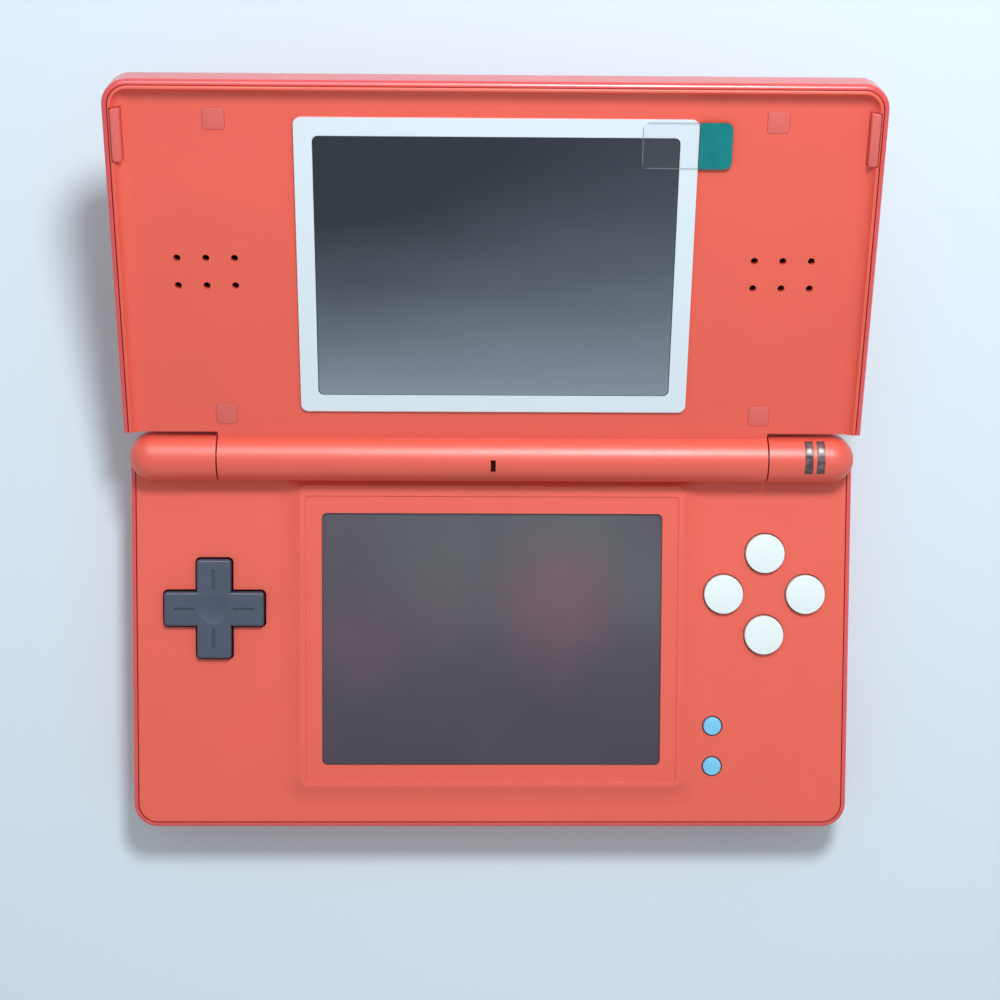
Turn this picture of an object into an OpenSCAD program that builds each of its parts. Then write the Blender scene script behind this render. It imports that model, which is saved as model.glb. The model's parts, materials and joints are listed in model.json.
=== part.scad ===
// Clamshell handheld game console: a base and a lid joined by a barrel hinge.
// Millimetres, +Z up. X runs along the hinge and Y from the front edge to the rear.
// The base lies on its feet at Z = 0 and the lid rests open against its stop.
// Base parts are drawn with Y = 0 at the front edge, lid parts with the hinge axis
// at the origin, Y along the lid and Z out of its inner face.

/* [Casing] */
// Width of the casing beside the visible part of the screens
side_w = 35.125; // [34.625:0.125:41]
// Distance from the front edge to the visible part of the lower screen
screen_front = 11.95; // [11.65:0.05:18]
// Distance from the hinge axis to the rear face of the base
rear_reach = 4.55; // [4.5:0.05:5]
// Height of the base's upper face over the ground
face_z = 12.2; // [12.2:0.1:14]
// Thickness of the lid from its rim to its outer face
lid_t = 9.05; // [9:0.05:11]
// Radius of the casing's corners seen from above
corner_r = 4.5; // [4.4:0.1:6]
// Radius of the base's lower edges
base_edge_r = 2.2; // [1.2:0.1:2.2]
// Radius of the lid's outer edges
lid_edge_r = 3.6; // [2.6:0.1:3.8]
// Radius of the glossy rim where a casing half meets its inner cover
rim_r = 0.9; // [0.7:0.05:1]
// Thickness of the side walls
wall_t = 1.6; // [1.5:0.1:1.8]
// Thickness of the floor and of the lid's outer wall
floor_t = 1.2; // [1:0.1:1.2]
// Thickness of the base's upper cover
cover_t = 1.5; // [1.3:0.1:1.5]
// Height of the rubber feet below the floor
foot_h = 0.5; // [0.4:0.1:0.5]
// Width of the joint line between two casing shells
joint_gap = 0.1; // [0.05:0.05:0.15]
// Clearance around pieces that sit in a pocket
seat_gap = 0.2; // [0.1:0.05:0.25]

/* [Hinge] */
// Height of the hinge axis over the base's face
axis_rise = 3.05; // [3:0.05:3.4]
// Radius of the hinge barrel
barrel_r = 4.25; // [4:0.05:4.3]
// Distance from the casing's side to the barrel section that turns with the lid
barrel_side = 16.7; // [16.5:0.05:17.5]
// Gap at each end of that section
barrel_gap = 0.25; // [0.25:0.05:0.5]
// Distance from each end of the whole barrel to the casing's side
barrel_inset = 0.5; // [0.4:0.1:1]
// Running clearance around the lid's barrel section
trough_gap = 0.3; // [0.25:0.05:0.4]
// Radius of the hinge shafts
shaft_r = 1.5; // [1.2:0.1:1.6]
// Radial clearance of a turning shaft
running_fit = 0.05; // [0.03:0.01:0.08]
// Angle by which the open lid rises over the base's plane
lid_rise = 19.5; // [15:0.5:25]
// Space between the lid's rim and the base's face when closed
closed_gap = 0.2; // [0.15:0.05:0.3]
// Distance from the hinge axis to the lower edge of the lid panel
lid_start = 5.3; // [5.2:0.1:5.6]
// How much further the lid's rim starts than its panel
rim_lag = 0.5; // [0.3:0.1:0.8]

/* [Screens] */
// Width of the visible part of both screens
window_w = 62.75; // [61:0.05:63]
// Height of the visible part of both screens
window_h = 47; // [45:0.1:47.5]
// Distance from the hinge axis to the visible part of the lower screen
lower_rear = 10.4; // [10.3:0.1:10.6]
// Distance from the hinge axis to the visible part of the upper screen
upper_near = 12.7; // [12.5:0.1:13.1]
// Border of the white frame around the upper window
frame_border = 3.15; // [2.8:0.05:3.4]
// Thickness of the white frame
frame_t = 0.55; // [0.5:0.05:0.6]
// Depth of the lid's dished inner face below its rim
recess_depth = 2; // [2:0.1:2.2]
// Radius of the hollow between the dished face and the rim
cove_r = 3.1; // [2.4:0.1:3.1]
// Border of the display modules beyond the visible part
module_border = 1.6; // [1.4:0.1:1.8]
// Thickness of the lower display
lower_lcd_t = 2.1; // [1.8:0.1:2.1]
// Thickness of the touch panel
touch_t = 1.1; // [0.9:0.1:1.1]
// Thickness of the upper display
upper_lcd_t = 2.8; // [2.2:0.1:3]

/* [Platform] */
// Width of the raised platform around the lower screen
platform_w = 70.8; // [70.4:0.1:71.6]
// Height of the platform over the base's face
platform_h = 1; // [0.8:0.1:1.1]
// Distance from the platform's front edge to the window
platform_front = 3.9; // [3.6:0.1:4.2]
// Distance from the platform's rear edge to the window
platform_rear = 5.05; // [4.9:0.05:5.2]
// Width of the hollow slope around the platform
flare_w = 4.5; // [4:0.5:6]
// Depth of the stepped field on top of the platform
field_step = 0.15; // [0.1:0.05:0.2]
// Width of the platform's edge band at its sides
field_inset = 1; // [0.8:0.1:1.2]

/* [Controls] */
// Distance from the casing's side to the middle of the directional pad
dpad_side = 15.3; // [14.5:0.1:15.5]
// Distance from the hinge axis back to the directional pad
dpad_y = 28.2; // [27:0.1:29]
// Span of the directional pad
dpad_span = 18.3; // [17:0.1:18.6]
// Width of an arm of the directional pad
dpad_arm = 6.3; // [6:0.1:6.6]
// Height of the directional pad over the face
dpad_rise = 1.5; // [1.2:0.1:1.6]
// Space between the directional pad and its cut-out
dpad_gap = 0.35; // [0.35:0.05:0.5]
// Distance from the casing's side to the middle of the group of four buttons
buttons_side = 16; // [15.5:0.1:16.5]
// Distance from the hinge axis back to the group of four buttons
buttons_y = 25.3; // [24:0.1:26]
// Distance of each button from the middle of the group
buttons_ring = 7.6; // [7.4:0.1:8]
// Radius of the four buttons
button_r = 3.6; // [3.2:0.1:3.7]
// Height of the four buttons over the face
button_rise = 1.25; // [1.1:0.05:1.4]
// Space between a round button and its hole
button_gap = 0.2; // [0.15:0.05:0.25]
// Distance from the casing's side to the two small buttons
small_side = 25.3; // [24.5:0.1:25.5]
// Distance from the hinge axis back to the rear small button
small_y = 50.1; // [49:0.1:50.5]
// Distance between the two small buttons
small_pitch = 7.6; // [7:0.1:8]
// Radius of the small buttons
small_r = 1.7; // [1.5:0.1:1.9]
// Height of the small buttons over the face
small_rise = 0.5; // [0.4:0.05:0.7]

/* [Speakers] */
// Distance from the casing's side to the middle of each group of sound holes
speaker_side = 16.1; // [15.5:0.1:16.5]
// Distance from the hinge axis to the sound holes
speaker_y = 35.35; // [34:0.05:37]
// Spacing of the sound holes
hole_pitch = 5; // [4.5:0.1:5.2]
// Radius of a sound hole
hole_r = 0.62; // [0.5:0.02:0.8]
// Radius of a speaker
speaker_r = 8.75; // [8:0.05:9]

/* [Slots and sockets] */
// Width of the game card slot
card_w = 33.4; // [33:0.1:34]
// Height of the game card slot
card_h = 4.3; // [4.2:0.1:4.3]
// Depth of the game card slot
card_depth = 32; // [30:0.5:33]
// Width of the cartridge bay
bay_w = 58; // [56:0.5:58]
// Height of the cartridge bay
bay_h = 7; // [6.5:0.1:7]
// Depth of the cartridge bay
bay_depth = 22; // [20:0.5:22]
// Radius of the stylus
stylus_r = 2.2; // [2:0.05:2.25]
// Radius of the headphone plug's bore
jack_r = 1.78; // [1.75:0.01:1.85]

/* [Hidden] */
$fn = 64;
over = 1; // how far a cutting shape runs past the surface it cuts

// casing
body_w = window_w + 2 * side_w;
half_w = body_w / 2;
hinge_reach = screen_front + window_h + lower_rear; // from the front edge to the hinge axis
base_d = hinge_reach + rear_reach;
axis_z = face_z + axis_rise;
floor_z = foot_h + floor_t;
ledge_z = face_z - cover_t;
rim_z = face_z - joint_gap;
cover_inset = rim_r + joint_gap;
rim_h = axis_rise - closed_gap; // lid rim over the hinge axis
outer_h = rim_h - lid_t; // lid outer face
dish_h = rim_h - recess_depth; // lid's dished inner face
panel_t = 1.2; // thickness of the lid's inner panel
panel_h = dish_h - panel_t;
inner_h = outer_h + floor_t;
edge_soft = 0.35; // rounding of the inner covers' edges
inner_edge_r = 0.6; // rounding inside the base between floor and walls
lid_inner_edge_r = 2; // rounding inside the lid's outer cover
rim_flat = 0.6; // width of the flat top of the lid's inner rim
cove_inset = cover_inset + rim_flat + sqrt(2 * recess_depth * cove_r - pow(recess_depth, 2)) - cove_r;

// the open lid's furthest point sets where the middle of the whole lies
lid_far = (hinge_reach - lid_edge_r) * cos(lid_rise) + (-outer_h - lid_edge_r) * sin(lid_rise)
    + lid_edge_r;
front_y = -(hinge_reach + lid_far) / 2;

// hinge
lid_barrel_half = half_w - barrel_side;
base_barrel_start = lid_barrel_half + barrel_gap;
barrel_end = half_w - barrel_inset;
ball_x = barrel_end - barrel_r;
trough_r = barrel_r + trough_gap;
unit_r = 2.8;
unit_l = barrel_end - base_barrel_start - 4.9;
plug_l = 7.6; // solid end of the lid's barrel that grips a shaft
barrel_bore_r = 3;
shaft_l = unit_l + barrel_gap + plug_l - 1;

// screens
screen_y = screen_front + window_h / 2;
upper_screen_y = upper_near + window_h / 2;
platform_front_y = screen_y - window_h / 2 - platform_front;
platform_rear_y = screen_y + window_h / 2 + platform_rear;
platform_d = platform_rear_y - platform_front_y;
platform_mid_y = (platform_rear_y + platform_front_y) / 2;
platform_r = 1.4;
field_z = face_z + platform_h - field_step;
touch_top = field_z - 0.6;
module_w = window_w + 2 * module_border + 1.7;
module_d = window_h + 2 * module_border + 2;
lower_lcd_z = touch_top - touch_t - lower_lcd_t;
window_r = 1;

// inner levels of the base
board_t = 1;
board_z = lower_lcd_z - 0.85 - board_t;
board_top = board_z + board_t;
board_side = 4.5; // from the casing's side to the main board
board_rear = 4.5; // from the hinge axis to its rear edge
board_fit = 0.2; // around the bosses and blocks that stand through the board
post_r = 2.3;
boss_r = 2;

// screws that hold the two base covers together
screw_y = 5.2;
screw_inset = 5;
rear_screw_x = half_w - 20.5;
rear_screw_y = hinge_reach - 7.8;
screw_points = [[-half_w + screw_inset, screw_y], [half_w - screw_inset, screw_y],
    [-rear_screw_x, rear_screw_y], [rear_screw_x, rear_screw_y]];
post_l = 2.6;
screw_head_r = 1.5;
screw_head_t = 0.6;
screw_shank_r = 0.75;
screw_shank_l = 6;
screw_sink = 0.4;
screw_fit = 0.07;
boss_roof = 0.6;

// feet
foot_r = 2.95;
foot_sink = 0.4;
foot_side = 12.5;
foot_front = 13;
foot_rear = 6.6;
foot_points = [for (x = [-1, 1], y = [foot_front, base_d - foot_rear])
    [x * (half_w - foot_side), y]];

// shoulder buttons
shoulder_start = half_w - 16.1;
shoulder_front = hinge_reach - 3.9;
shoulder_space = 1;
shoulder_low = 2.6;
shoulder_high = ledge_z - 0.3;
pocket_low = 2.3;
pocket_front = shoulder_front - shoulder_space;
pocket_wall = 1;
pocket_start = shoulder_start - 0.4;
trough_wall_half = pocket_start - pocket_wall - joint_gap;
pin_r = 0.8;
pin_x = shoulder_start + 1.9;
pin_y = hinge_reach;
spring_side = 6.5;
spring_x = half_w - spring_side;
spring_z = (shoulder_low + shoulder_high) / 2;
spring_r = 1.1;
spring_depth = 2.5;

// slots and sockets
bay_low = floor_z + 0.2;
card_low = floor_z + 0.9;
card_shell = 0.3;
stylus_bore_r = stylus_r + 0.1;
stylus_wall = 0.5;
stylus_z = floor_z + stylus_bore_r + stylus_wall - 0.1;
tip_l = 5;
jack_x = half_w - 20.5;
jack_z = 4.6;
jack_body = [8, 13.3, 5.4];
jack_collar_r = 2.5;
jack_depth = 13.2; // of the bore, from the collar's face
jack_face = 0.3; // from the front edge back to the collar's face
socket_x = half_w - 35.5;
socket_z = 5;
socket_hole = [7.4, 2.9];
socket_body = [9, 7, 4];
socket_wall = 1;
strap_x = 33 - half_w;
strap_z = 5.6;
strap_hole = [5, 3, 3.2];
strap_bar_r = 0.6;
strap_wall = 1.2;
connector_d = 4.15;
connector_wall = 1;
bay_end = bay_depth + joint_gap + connector_d; // rear of the cartridge connector
stylus_space = 1.8; // between the cartridge connector and the sleeve of the stylus
stylus_back = bay_end + stylus_space + stylus_wall + stylus_bore_r;
volume_x = 18.5 - half_w;
slider_z = 5.9;
slider_size = [5, 1.6];
slider_ridge = 0.35; // how far a slider's rib stands out
slider_lap = 0.9; // from the wall's inside to the body of a sliding switch
slider_sink = 0.35; // from the casing's side to the slider's face
volume_travel = 4;
power_travel = 2;
power_y = hinge_reach - 18;
switch_body = [6, 11, 3];
volume_body = [16, 4.1, 3.8];
wireless_size = [19, 16];
wireless_mid = [half_w - 23, hinge_reach - 19];
wireless_can = [14, 14, 1.4];
wireless_can_x = -1.5; // from the middle of its board
wireless_board_t = 0.8;

// battery: its compartment fills the space between the side wall, the cartridge
// connector, the rear screw and the game card slot
battery_side = 4;
card_space = 6.8;
battery_right = -card_w / 2 - card_space;
cover_lap = 1; // how far the battery cover reaches past the battery's walls
cover_rear = rear_screw_y - screw_head_r - seat_gap - 0.3;
battery_wall = 0.8;
battery_box = [battery_right - battery_side + half_w, cover_rear - cover_lap - bay_end - 0.3];
battery_bay = [battery_box.x - 2 * battery_wall, battery_box.y - 2 * battery_wall];
battery_size = [battery_bay.x - 2 * seat_gap, battery_bay.y - 2 * seat_gap, board_z - floor_z - 0.4];
battery_mid = [battery_right - battery_box.x / 2, bay_end + 0.3 + battery_box.y / 2];
screw_strip = 4; // extra length of the battery cover for its screw
battery_cover_size = [battery_box.x + 2 * cover_lap, battery_box.y + cover_lap + screw_strip];
battery_cover_mid = [battery_mid.x, battery_mid.y - (screw_strip - cover_lap) / 2];
battery_screw = [battery_mid.x, battery_cover_mid.y - battery_cover_size.y / 2 + 2.7];
cover_skin = 0.8; // thickness of the battery cover at its rim
battery_boss_r = 1.9;
battery_boss_h = 3.6;
notch_r = 3; // finger notch in the battery cover's edge
notch_t = 0.4;
stylus_l = half_w - battery_right - 2.5;

// controls
flange_t = 0.75;
button_edge = 0.45;
button_flange_r = 4.4;
small_flange_r = 2.4;
flange_top = ledge_z - 0.1;
stem_low = flange_top - flange_t - 0.45;
dome_top = stem_low - 0.05;
sheet_z = board_top + 0.05;
sheet_t = 0.4;
dpad_flange_r = 9.5;
dpad_flange_top = ledge_z - 0.85;
dpad_flange_t = 0.7;
dpad_low = dpad_flange_top - dpad_flange_t;
dpad_corner = 0.6;
dpad_soft = 0.45;
dpad_line = [3.6, 7.3]; // reach of the engraved line on each arm
dpad_dish = 0.2;
dpad_dish_r = 20;
dpad_x = half_w - dpad_side;
dpad_mid_y = hinge_reach - dpad_y;
buttons_x = half_w - buttons_side;
small_x = half_w - small_side;
buttons_mid_y = hinge_reach - buttons_y;
small_rear_y = hinge_reach - small_y;

// lid
lid_depth = 2 * hinge_reach; // drawn over-long and cut at the hinge side
frame_w = window_w + 2 * frame_border;
frame_d = window_h + 2 * frame_border;
frame_h = dish_h + frame_t;
display_w = window_w + 2 * module_border;
display_d = window_h + 2 * module_border;
speaker_x = half_w - speaker_side;
pad_size = 3.8;
pad_x = half_w - 18.5;
pad_near = 8.7;
pad_far = hinge_reach - 6.95;
pad_points = [[-pad_x, pad_near], [pad_x, pad_near], [-pad_x, pad_far], [pad_x, pad_far]];
pad_sink = 0.4;
pad_stand = 0.1;
lid_screw_r = 1.5;
lid_foot_r = 2; // rounding of the lid's lower edge beside the hinge
web_r = 4.3;
web_y = 8.2;
web_h = outer_h + web_r;
lid_post_r = 2.4;
lid_post_reach = 2; // of the inner cover's posts below its panel
flex_w = 12;
flex_x = 14;
flex_h = panel_h - 1;
bumper_from = hinge_reach - 14.05;
bumper_to = hinge_reach - 4.95;
bumper_w = 1.6;
mic_slot = [0.9, 2.4];
glass_h = frame_h - 0.02; // face of the upper window
film_t = 0.1;
film_edge = 0.15; // from the film's edge to the white frame
strip_from = window_w / 2 - 6.5; // pull strip: from over the window to beside the frame
strip_to = frame_w / 2 + 5.75;
strip_w = 8;
strip_y = upper_screen_y + window_h / 2 - 1.3;

// status lights: two curved bars over the right end of the barrel
light_w = 1.45;
light_pitch = 2.15;
light_half_angle = 44;
light_tilt = 8; // by which the bars sit towards the rear
light_start = ball_x - 4.45;

// ---------------------------------------------------------------- helpers

// Rectangle with true arcs at its corners
module rounded_rect(size, r) {
    square([size.x - 2 * r, size.y], center = true);
    square([size.x, size.y - 2 * r], center = true);
    for (x = [-1, 1], y = [-1, 1])
        translate([x * (size.x / 2 - r), y * (size.y / 2 - r)]) circle(r);
}

// Upright plate with rounded corners between two heights
module plate(size, r, low, high) {
    translate([0, 0, low]) linear_extrude(high - low) rounded_rect(size, r);
}

// Box given by its low and high corners
module block(low, high) {
    translate(low) cube(high - low);
}

// Half section of a slab whose outer edges are rounded
module edge_profile(reach, low, high, r_low, r_high) {
    intersection() {
        translate([0, low]) square([reach, high - low]);
        union() {
            translate([-reach, low + r_low]) square([2 * reach, high - low - r_low - r_high]);
            translate([-reach, low]) square([2 * reach - r_low, high - low - r_high]);
            translate([-reach, low + r_low]) square([2 * reach - r_high, high - low - r_low]);
            if (r_low > 0) translate([reach - r_low, low + r_low]) circle(r_low);
            if (r_high > 0) translate([reach - r_high, high - r_high]) circle(r_high);
        }
    }
}

module whole_profile(half, low, high, r_low, r_high) {
    for (side = [0, 1]) mirror([side, 0]) edge_profile(half, low, high, r_low, r_high);
}

// Slab with round corners and softened lower and upper edges
module soft_slab(size, corner, low, high, r_low, r_high) {
    rotate([90, 0, 0]) linear_extrude(size.y - 2 * corner, center = true)
        whole_profile(size.x / 2, low, high, r_low, r_high);
    rotate([90, 0, 90]) linear_extrude(size.x - 2 * corner, center = true)
        whole_profile(size.y / 2, low, high, r_low, r_high);
    for (i = [0:3])
        translate([(i == 0 || i == 3 ? 1 : -1) * (size.x / 2 - corner),
            (i < 2 ? 1 : -1) * (size.y / 2 - corner), 0])
            rotate([0, 0, 90 * i]) rotate_extrude(angle = 90)
                edge_profile(corner, low, high, r_low, r_high);
}

// Base slab grown or shrunk on all sides by an inset
module base_slab(inset, low, high, r_low, r_high) {
    translate([0, base_d / 2, 0])
        soft_slab([body_w - 2 * inset, base_d - 2 * inset], corner_r - inset,
            low, high, r_low, r_high);
}

// Lid slab in the lid's own axes, running past the hinge
module lid_slab(inset, low, high, r_low, r_high) {
    soft_slab([body_w - 2 * inset, lid_depth - 2 * inset], corner_r - inset,
        low, high, r_low, r_high);
}

// Round bar along X between two places
module bar_x(r, from, to) {
    translate([from, 0, 0]) rotate([0, 90, 0]) cylinder(r = r, h = to - from);
}

// Section of a hollow slope: full height at 0, falling to nothing at its width
module slope_section(w, h) {
    big_r = (w * w + h * h) / (2 * h);
    difference() {
        square([w, h]);
        translate([w, big_r]) circle(big_r, $fn = 360);
    }
}

// Raised pad whose four sides run down in a hollow slope
module flared_pad(size, r, h, slope_w) {
    linear_extrude(h) rounded_rect(size, r);
    for (side = [-1, 1]) {
        rotate([90, 0, 0]) linear_extrude(size.y - 2 * r, center = true)
            mirror([side < 0 ? 1 : 0, 0]) translate([size.x / 2 - r, 0]) {
                square([r, h]);
                translate([r, 0]) slope_section(slope_w, h);
            }
        rotate([90, 0, 90]) linear_extrude(size.x - 2 * r, center = true)
            mirror([side < 0 ? 1 : 0, 0]) translate([size.y / 2 - r, 0]) {
                square([r, h]);
                translate([r, 0]) slope_section(slope_w, h);
            }
    }
    for (i = [0:3])
        translate([(i == 0 || i == 3 ? 1 : -1) * (size.x / 2 - r),
            (i < 2 ? 1 : -1) * (size.y / 2 - r), 0])
            rotate([0, 0, 90 * i]) rotate_extrude(angle = 90) {
                square([r, h]);
                translate([r, 0]) slope_section(slope_w, h);
            }
}

// Moves a part drawn from the base's front edge into the shared frame
module on_base() {
    translate([0, front_y, 0]) children();
}

// Moves a part drawn in the lid's axes onto the hinge at the open angle
module on_lid() {
    on_base() translate([0, hinge_reach, axis_z]) rotate([lid_rise, 0, 0]) children();
}

// Screw with a flat head, standing on its head at the origin
module screw(head_r, head_t, shank_r, shank_l) {
    cylinder(r = head_r, h = head_t);
    cylinder(r = shank_r, h = head_t + shank_l);
}

// ---------------------------------------------------------------- base casing

// Room that a shoulder button takes out of a rear corner, under the upper cover
module shoulder_pocket() {
    block([pocket_start, pocket_front, pocket_low],
        [half_w + over, base_d + over, ledge_z]);
}

// Hole for a slider along a wall, drawn around the slider's middle
module slider_slot(from, to) {
    block([from - slider_size.x / 2 - seat_gap, -over, -slider_size.y / 2 - seat_gap],
        [to + slider_size.x / 2 + seat_gap, wall_t + over, slider_size.y / 2 + seat_gap]);
}

module bottom_cover_openings() {
    // game card slot in the rear wall
    block([-card_w / 2, base_d - wall_t - over, card_low],
        [card_w / 2, base_d + over, card_low + card_h]);
    // cartridge bay in the front wall
    block([-bay_w / 2, -over, bay_low], [bay_w / 2, bay_depth, bay_low + bay_h]);
    // charging socket and headphone jack
    block([socket_x - socket_hole.x / 2, base_d - wall_t - over, socket_z - socket_hole.y / 2],
        [socket_x + socket_hole.x / 2, base_d + over, socket_z + socket_hole.y / 2]);
    translate([jack_x, wall_t + over, jack_z]) rotate([90, 0, 0])
        cylinder(r = jack_collar_r + seat_gap, h = wall_t + 2 * over);
    // volume slot in the front wall and power slot in the right wall
    translate([volume_x, 0, slider_z]) slider_slot(-volume_travel, volume_travel);
    translate([half_w, power_y, slider_z]) rotate([0, 0, 90]) slider_slot(0, power_travel);
    // stylus bore
    translate([0, stylus_back, stylus_z])
        bar_x(stylus_bore_r, half_w - stylus_l - 0.7, half_w + over);
    // battery opening in the floor and the recess of its cover
    translate([battery_mid.x, battery_mid.y, 0]) plate(battery_bay, 0.5, foot_h, floor_z + over);
    translate([battery_cover_mid.x, battery_cover_mid.y, 0])
        plate(battery_cover_size, 2, foot_h - over, foot_h + cover_skin);
    // strap hole around its bar at the rear
    block([strap_x - strap_hole.x / 2, base_d - strap_hole.y, strap_z - strap_hole.z / 2],
        [strap_x + strap_hole.x / 2, base_d + over, strap_z + strap_hole.z / 2]);
    // recesses for the feet and the screws
    for (p = foot_points) translate([p.x, p.y, foot_h - over])
        cylinder(r = foot_r + joint_gap / 2, h = over + foot_sink);
    for (p = screw_points) translate([p.x, p.y, foot_h - over]) {
        cylinder(r = screw_head_r + seat_gap, h = over + screw_sink + screw_head_t);
        cylinder(r = screw_shank_r + 0.3, h = 10);
    }
    translate([battery_screw.x, battery_screw.y, foot_h])
        cylinder(r = screw_shank_r + screw_fit, h = floor_z + battery_boss_h);
}

// Walls, posts and sleeves that rise from the floor of the bottom cover
module bottom_cover_inside() {
    // walls of the cartridge bay
    for (side = [-1, 1]) translate([side * (bay_w / 2 + 0.5), 0, 0])
        block([-0.5, wall_t / 2, floor_z - 0.1], [0.5, bay_depth, bay_low + bay_h]);
    // sleeve of the stylus
    translate([0, stylus_back, stylus_z])
        bar_x(stylus_bore_r + stylus_wall, half_w - stylus_l - 1.4, half_w - wall_t / 2);
    // blocks that hold the shoulder buttons
    for (side = [0, 1]) mirror([side, 0, 0])
        block([pocket_start - pocket_wall, pocket_front - pocket_wall, floor_z - 0.1],
            [half_w - wall_t, base_d - wall_t, ledge_z]);
    // posts for the screws
    for (p = screw_points) translate([p.x, p.y, floor_z - 0.1])
        cylinder(r = post_r, h = post_l);
    // walls of the battery compartment
    translate([battery_mid.x, battery_mid.y, 0]) difference() {
        plate(battery_box, 1.2, floor_z - 0.1, board_z - 1);
        plate(battery_bay, 0.5, 0, face_z);
    }
    translate([battery_screw.x, battery_screw.y, floor_z])
        cylinder(r = battery_boss_r, h = battery_boss_h);
    block([battery_screw.x - battery_boss_r, battery_screw.y, floor_z],
        [battery_screw.x + battery_boss_r, battery_mid.y - battery_bay.y / 2, floor_z + battery_boss_h]);
    // block behind the strap hole
    block([strap_x - strap_hole.x / 2 - strap_wall, base_d - strap_hole.y - strap_wall,
            strap_z - strap_hole.z / 2 - strap_wall],
        [strap_x + strap_hole.x / 2 + strap_wall, base_d - wall_t / 2,
            strap_z + strap_hole.z / 2 + strap_wall]);
}

module bottom_cover() {
    color([0.92, 0.37, 0.39]) on_base() {
        difference() {
            union() {
                difference() {
                    base_slab(0, foot_h, rim_z, base_edge_r, rim_r);
                    base_slab(wall_t, floor_z, face_z + over, inner_edge_r, 0);
                    base_slab(rim_r, ledge_z, face_z + over, 0, 0);
                }
                bottom_cover_inside();
            }
            for (side = [0, 1]) mirror([side, 0, 0]) shoulder_pocket();
            bottom_cover_openings();
        }
        // strap bar
        translate([strap_x, base_d - 0.3 - strap_bar_r, strap_z - strap_hole.z / 2 - 0.1])
            cylinder(r = strap_bar_r, h = strap_hole.z + 0.2);
    }
}

module dpad_outline(grow) {
    for (turn = [0, 90]) rotate(turn)
        rounded_rect([dpad_span + 2 * grow, dpad_arm + 2 * grow], dpad_corner + grow);
}

module control_holes() {
    translate([-dpad_x, dpad_mid_y, ledge_z - over]) linear_extrude(cover_t + 2 * over)
        dpad_outline(dpad_gap);
    for (i = [0:3]) translate([buttons_x, buttons_mid_y, ledge_z - over]) rotate(90 * i)
        translate([buttons_ring, 0, 0]) cylinder(r = button_r + button_gap, h = cover_t + 2 * over);
    for (i = [0, 1]) translate([small_x, small_rear_y - i * small_pitch, ledge_z - over])
        cylinder(r = small_r + button_gap, h = cover_t + 2 * over);
}

module top_cover() {
    color([0.90, 0.41, 0.35]) on_base() difference() {
        union() {
            difference() {
                union() {
                    base_slab(cover_inset, ledge_z, face_z, 0, edge_soft);
                    translate([0, platform_mid_y, face_z - 0.01])
                        flared_pad([platform_w, platform_d], platform_r, platform_h + 0.01, flare_w);
                    // wall under the trough of the lid's barrel
                    intersection() {
                        translate([0, hinge_reach, axis_z])
                            bar_x(trough_r + 1, -trough_wall_half, trough_wall_half);
                        block([-trough_wall_half, hinge_reach - 5, ledge_z - 2],
                            [trough_wall_half, base_d - wall_t - joint_gap, face_z]);
                    }
                }
                translate([0, hinge_reach, axis_z])
                    bar_x(trough_r, -base_barrel_start, base_barrel_start);
            }
            // fixed ends of the hinge barrel
            for (side = [0, 1]) mirror([side, 0, 0]) translate([0, hinge_reach, axis_z]) {
                bar_x(barrel_r, base_barrel_start, ball_x);
                translate([ball_x, 0, 0]) rotate([0, 90, 0]) rotate_extrude() intersection() {
                    circle(barrel_r);
                    square(barrel_r);
                }
            }
            // bosses that take the screws
            for (p = screw_points) translate([p.x, p.y, floor_z + post_l])
                cylinder(r = boss_r, h = ledge_z - floor_z - post_l + 0.1);
        }
        // stepped field and window of the platform
        translate([0, screen_y, 0]) {
            plate([platform_w - 2 * field_inset, platform_d - 2.65], 0.9, field_z, face_z + 5);
            plate([window_w, window_h], window_r, ledge_z - over, face_z + 5);
            plate([module_w + 2 * seat_gap, module_d + 2 * seat_gap], 0.5, ledge_z - over, touch_top);
        }
        control_holes();
        for (p = screw_points) translate([p.x, p.y, 0])
            cylinder(r = screw_shank_r + screw_fit, h = ledge_z - boss_roof);
        // bores of the hinge unit and the bushing, and windows of the status lights
        for (side = [0, 1]) mirror([side, 0, 0]) translate([0, hinge_reach, axis_z])
            bar_x(unit_r + running_fit, base_barrel_start - over, base_barrel_start + unit_l + 0.1);
        for (i = [0, 1]) translate([light_x(i), hinge_reach, axis_z])
            light_arc(barrel_r + over, unit_r + running_fit + 0.05, light_w);
    }
}

// Place of a status light along the barrel
function light_x(i) = light_start + i * light_pitch;

// Curved bar across the top of the barrel
module light_arc(r_out, r_in, w) {
    translate([-w / 2, 0, 0]) rotate([90, 0, 90]) rotate(90 - light_half_angle - light_tilt)
        rotate_extrude(angle = 2 * light_half_angle) translate([r_in, 0]) square([r_out - r_in, w]);
}

module status_light_pipes() {
    color([0.62, 0.62, 0.63, 0.9]) on_base()
        for (i = [0, 1]) translate([light_x(i), hinge_reach, axis_z])
            light_arc(barrel_r + 0.02, unit_r + running_fit + 0.1, light_w - 0.06);
}

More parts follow.
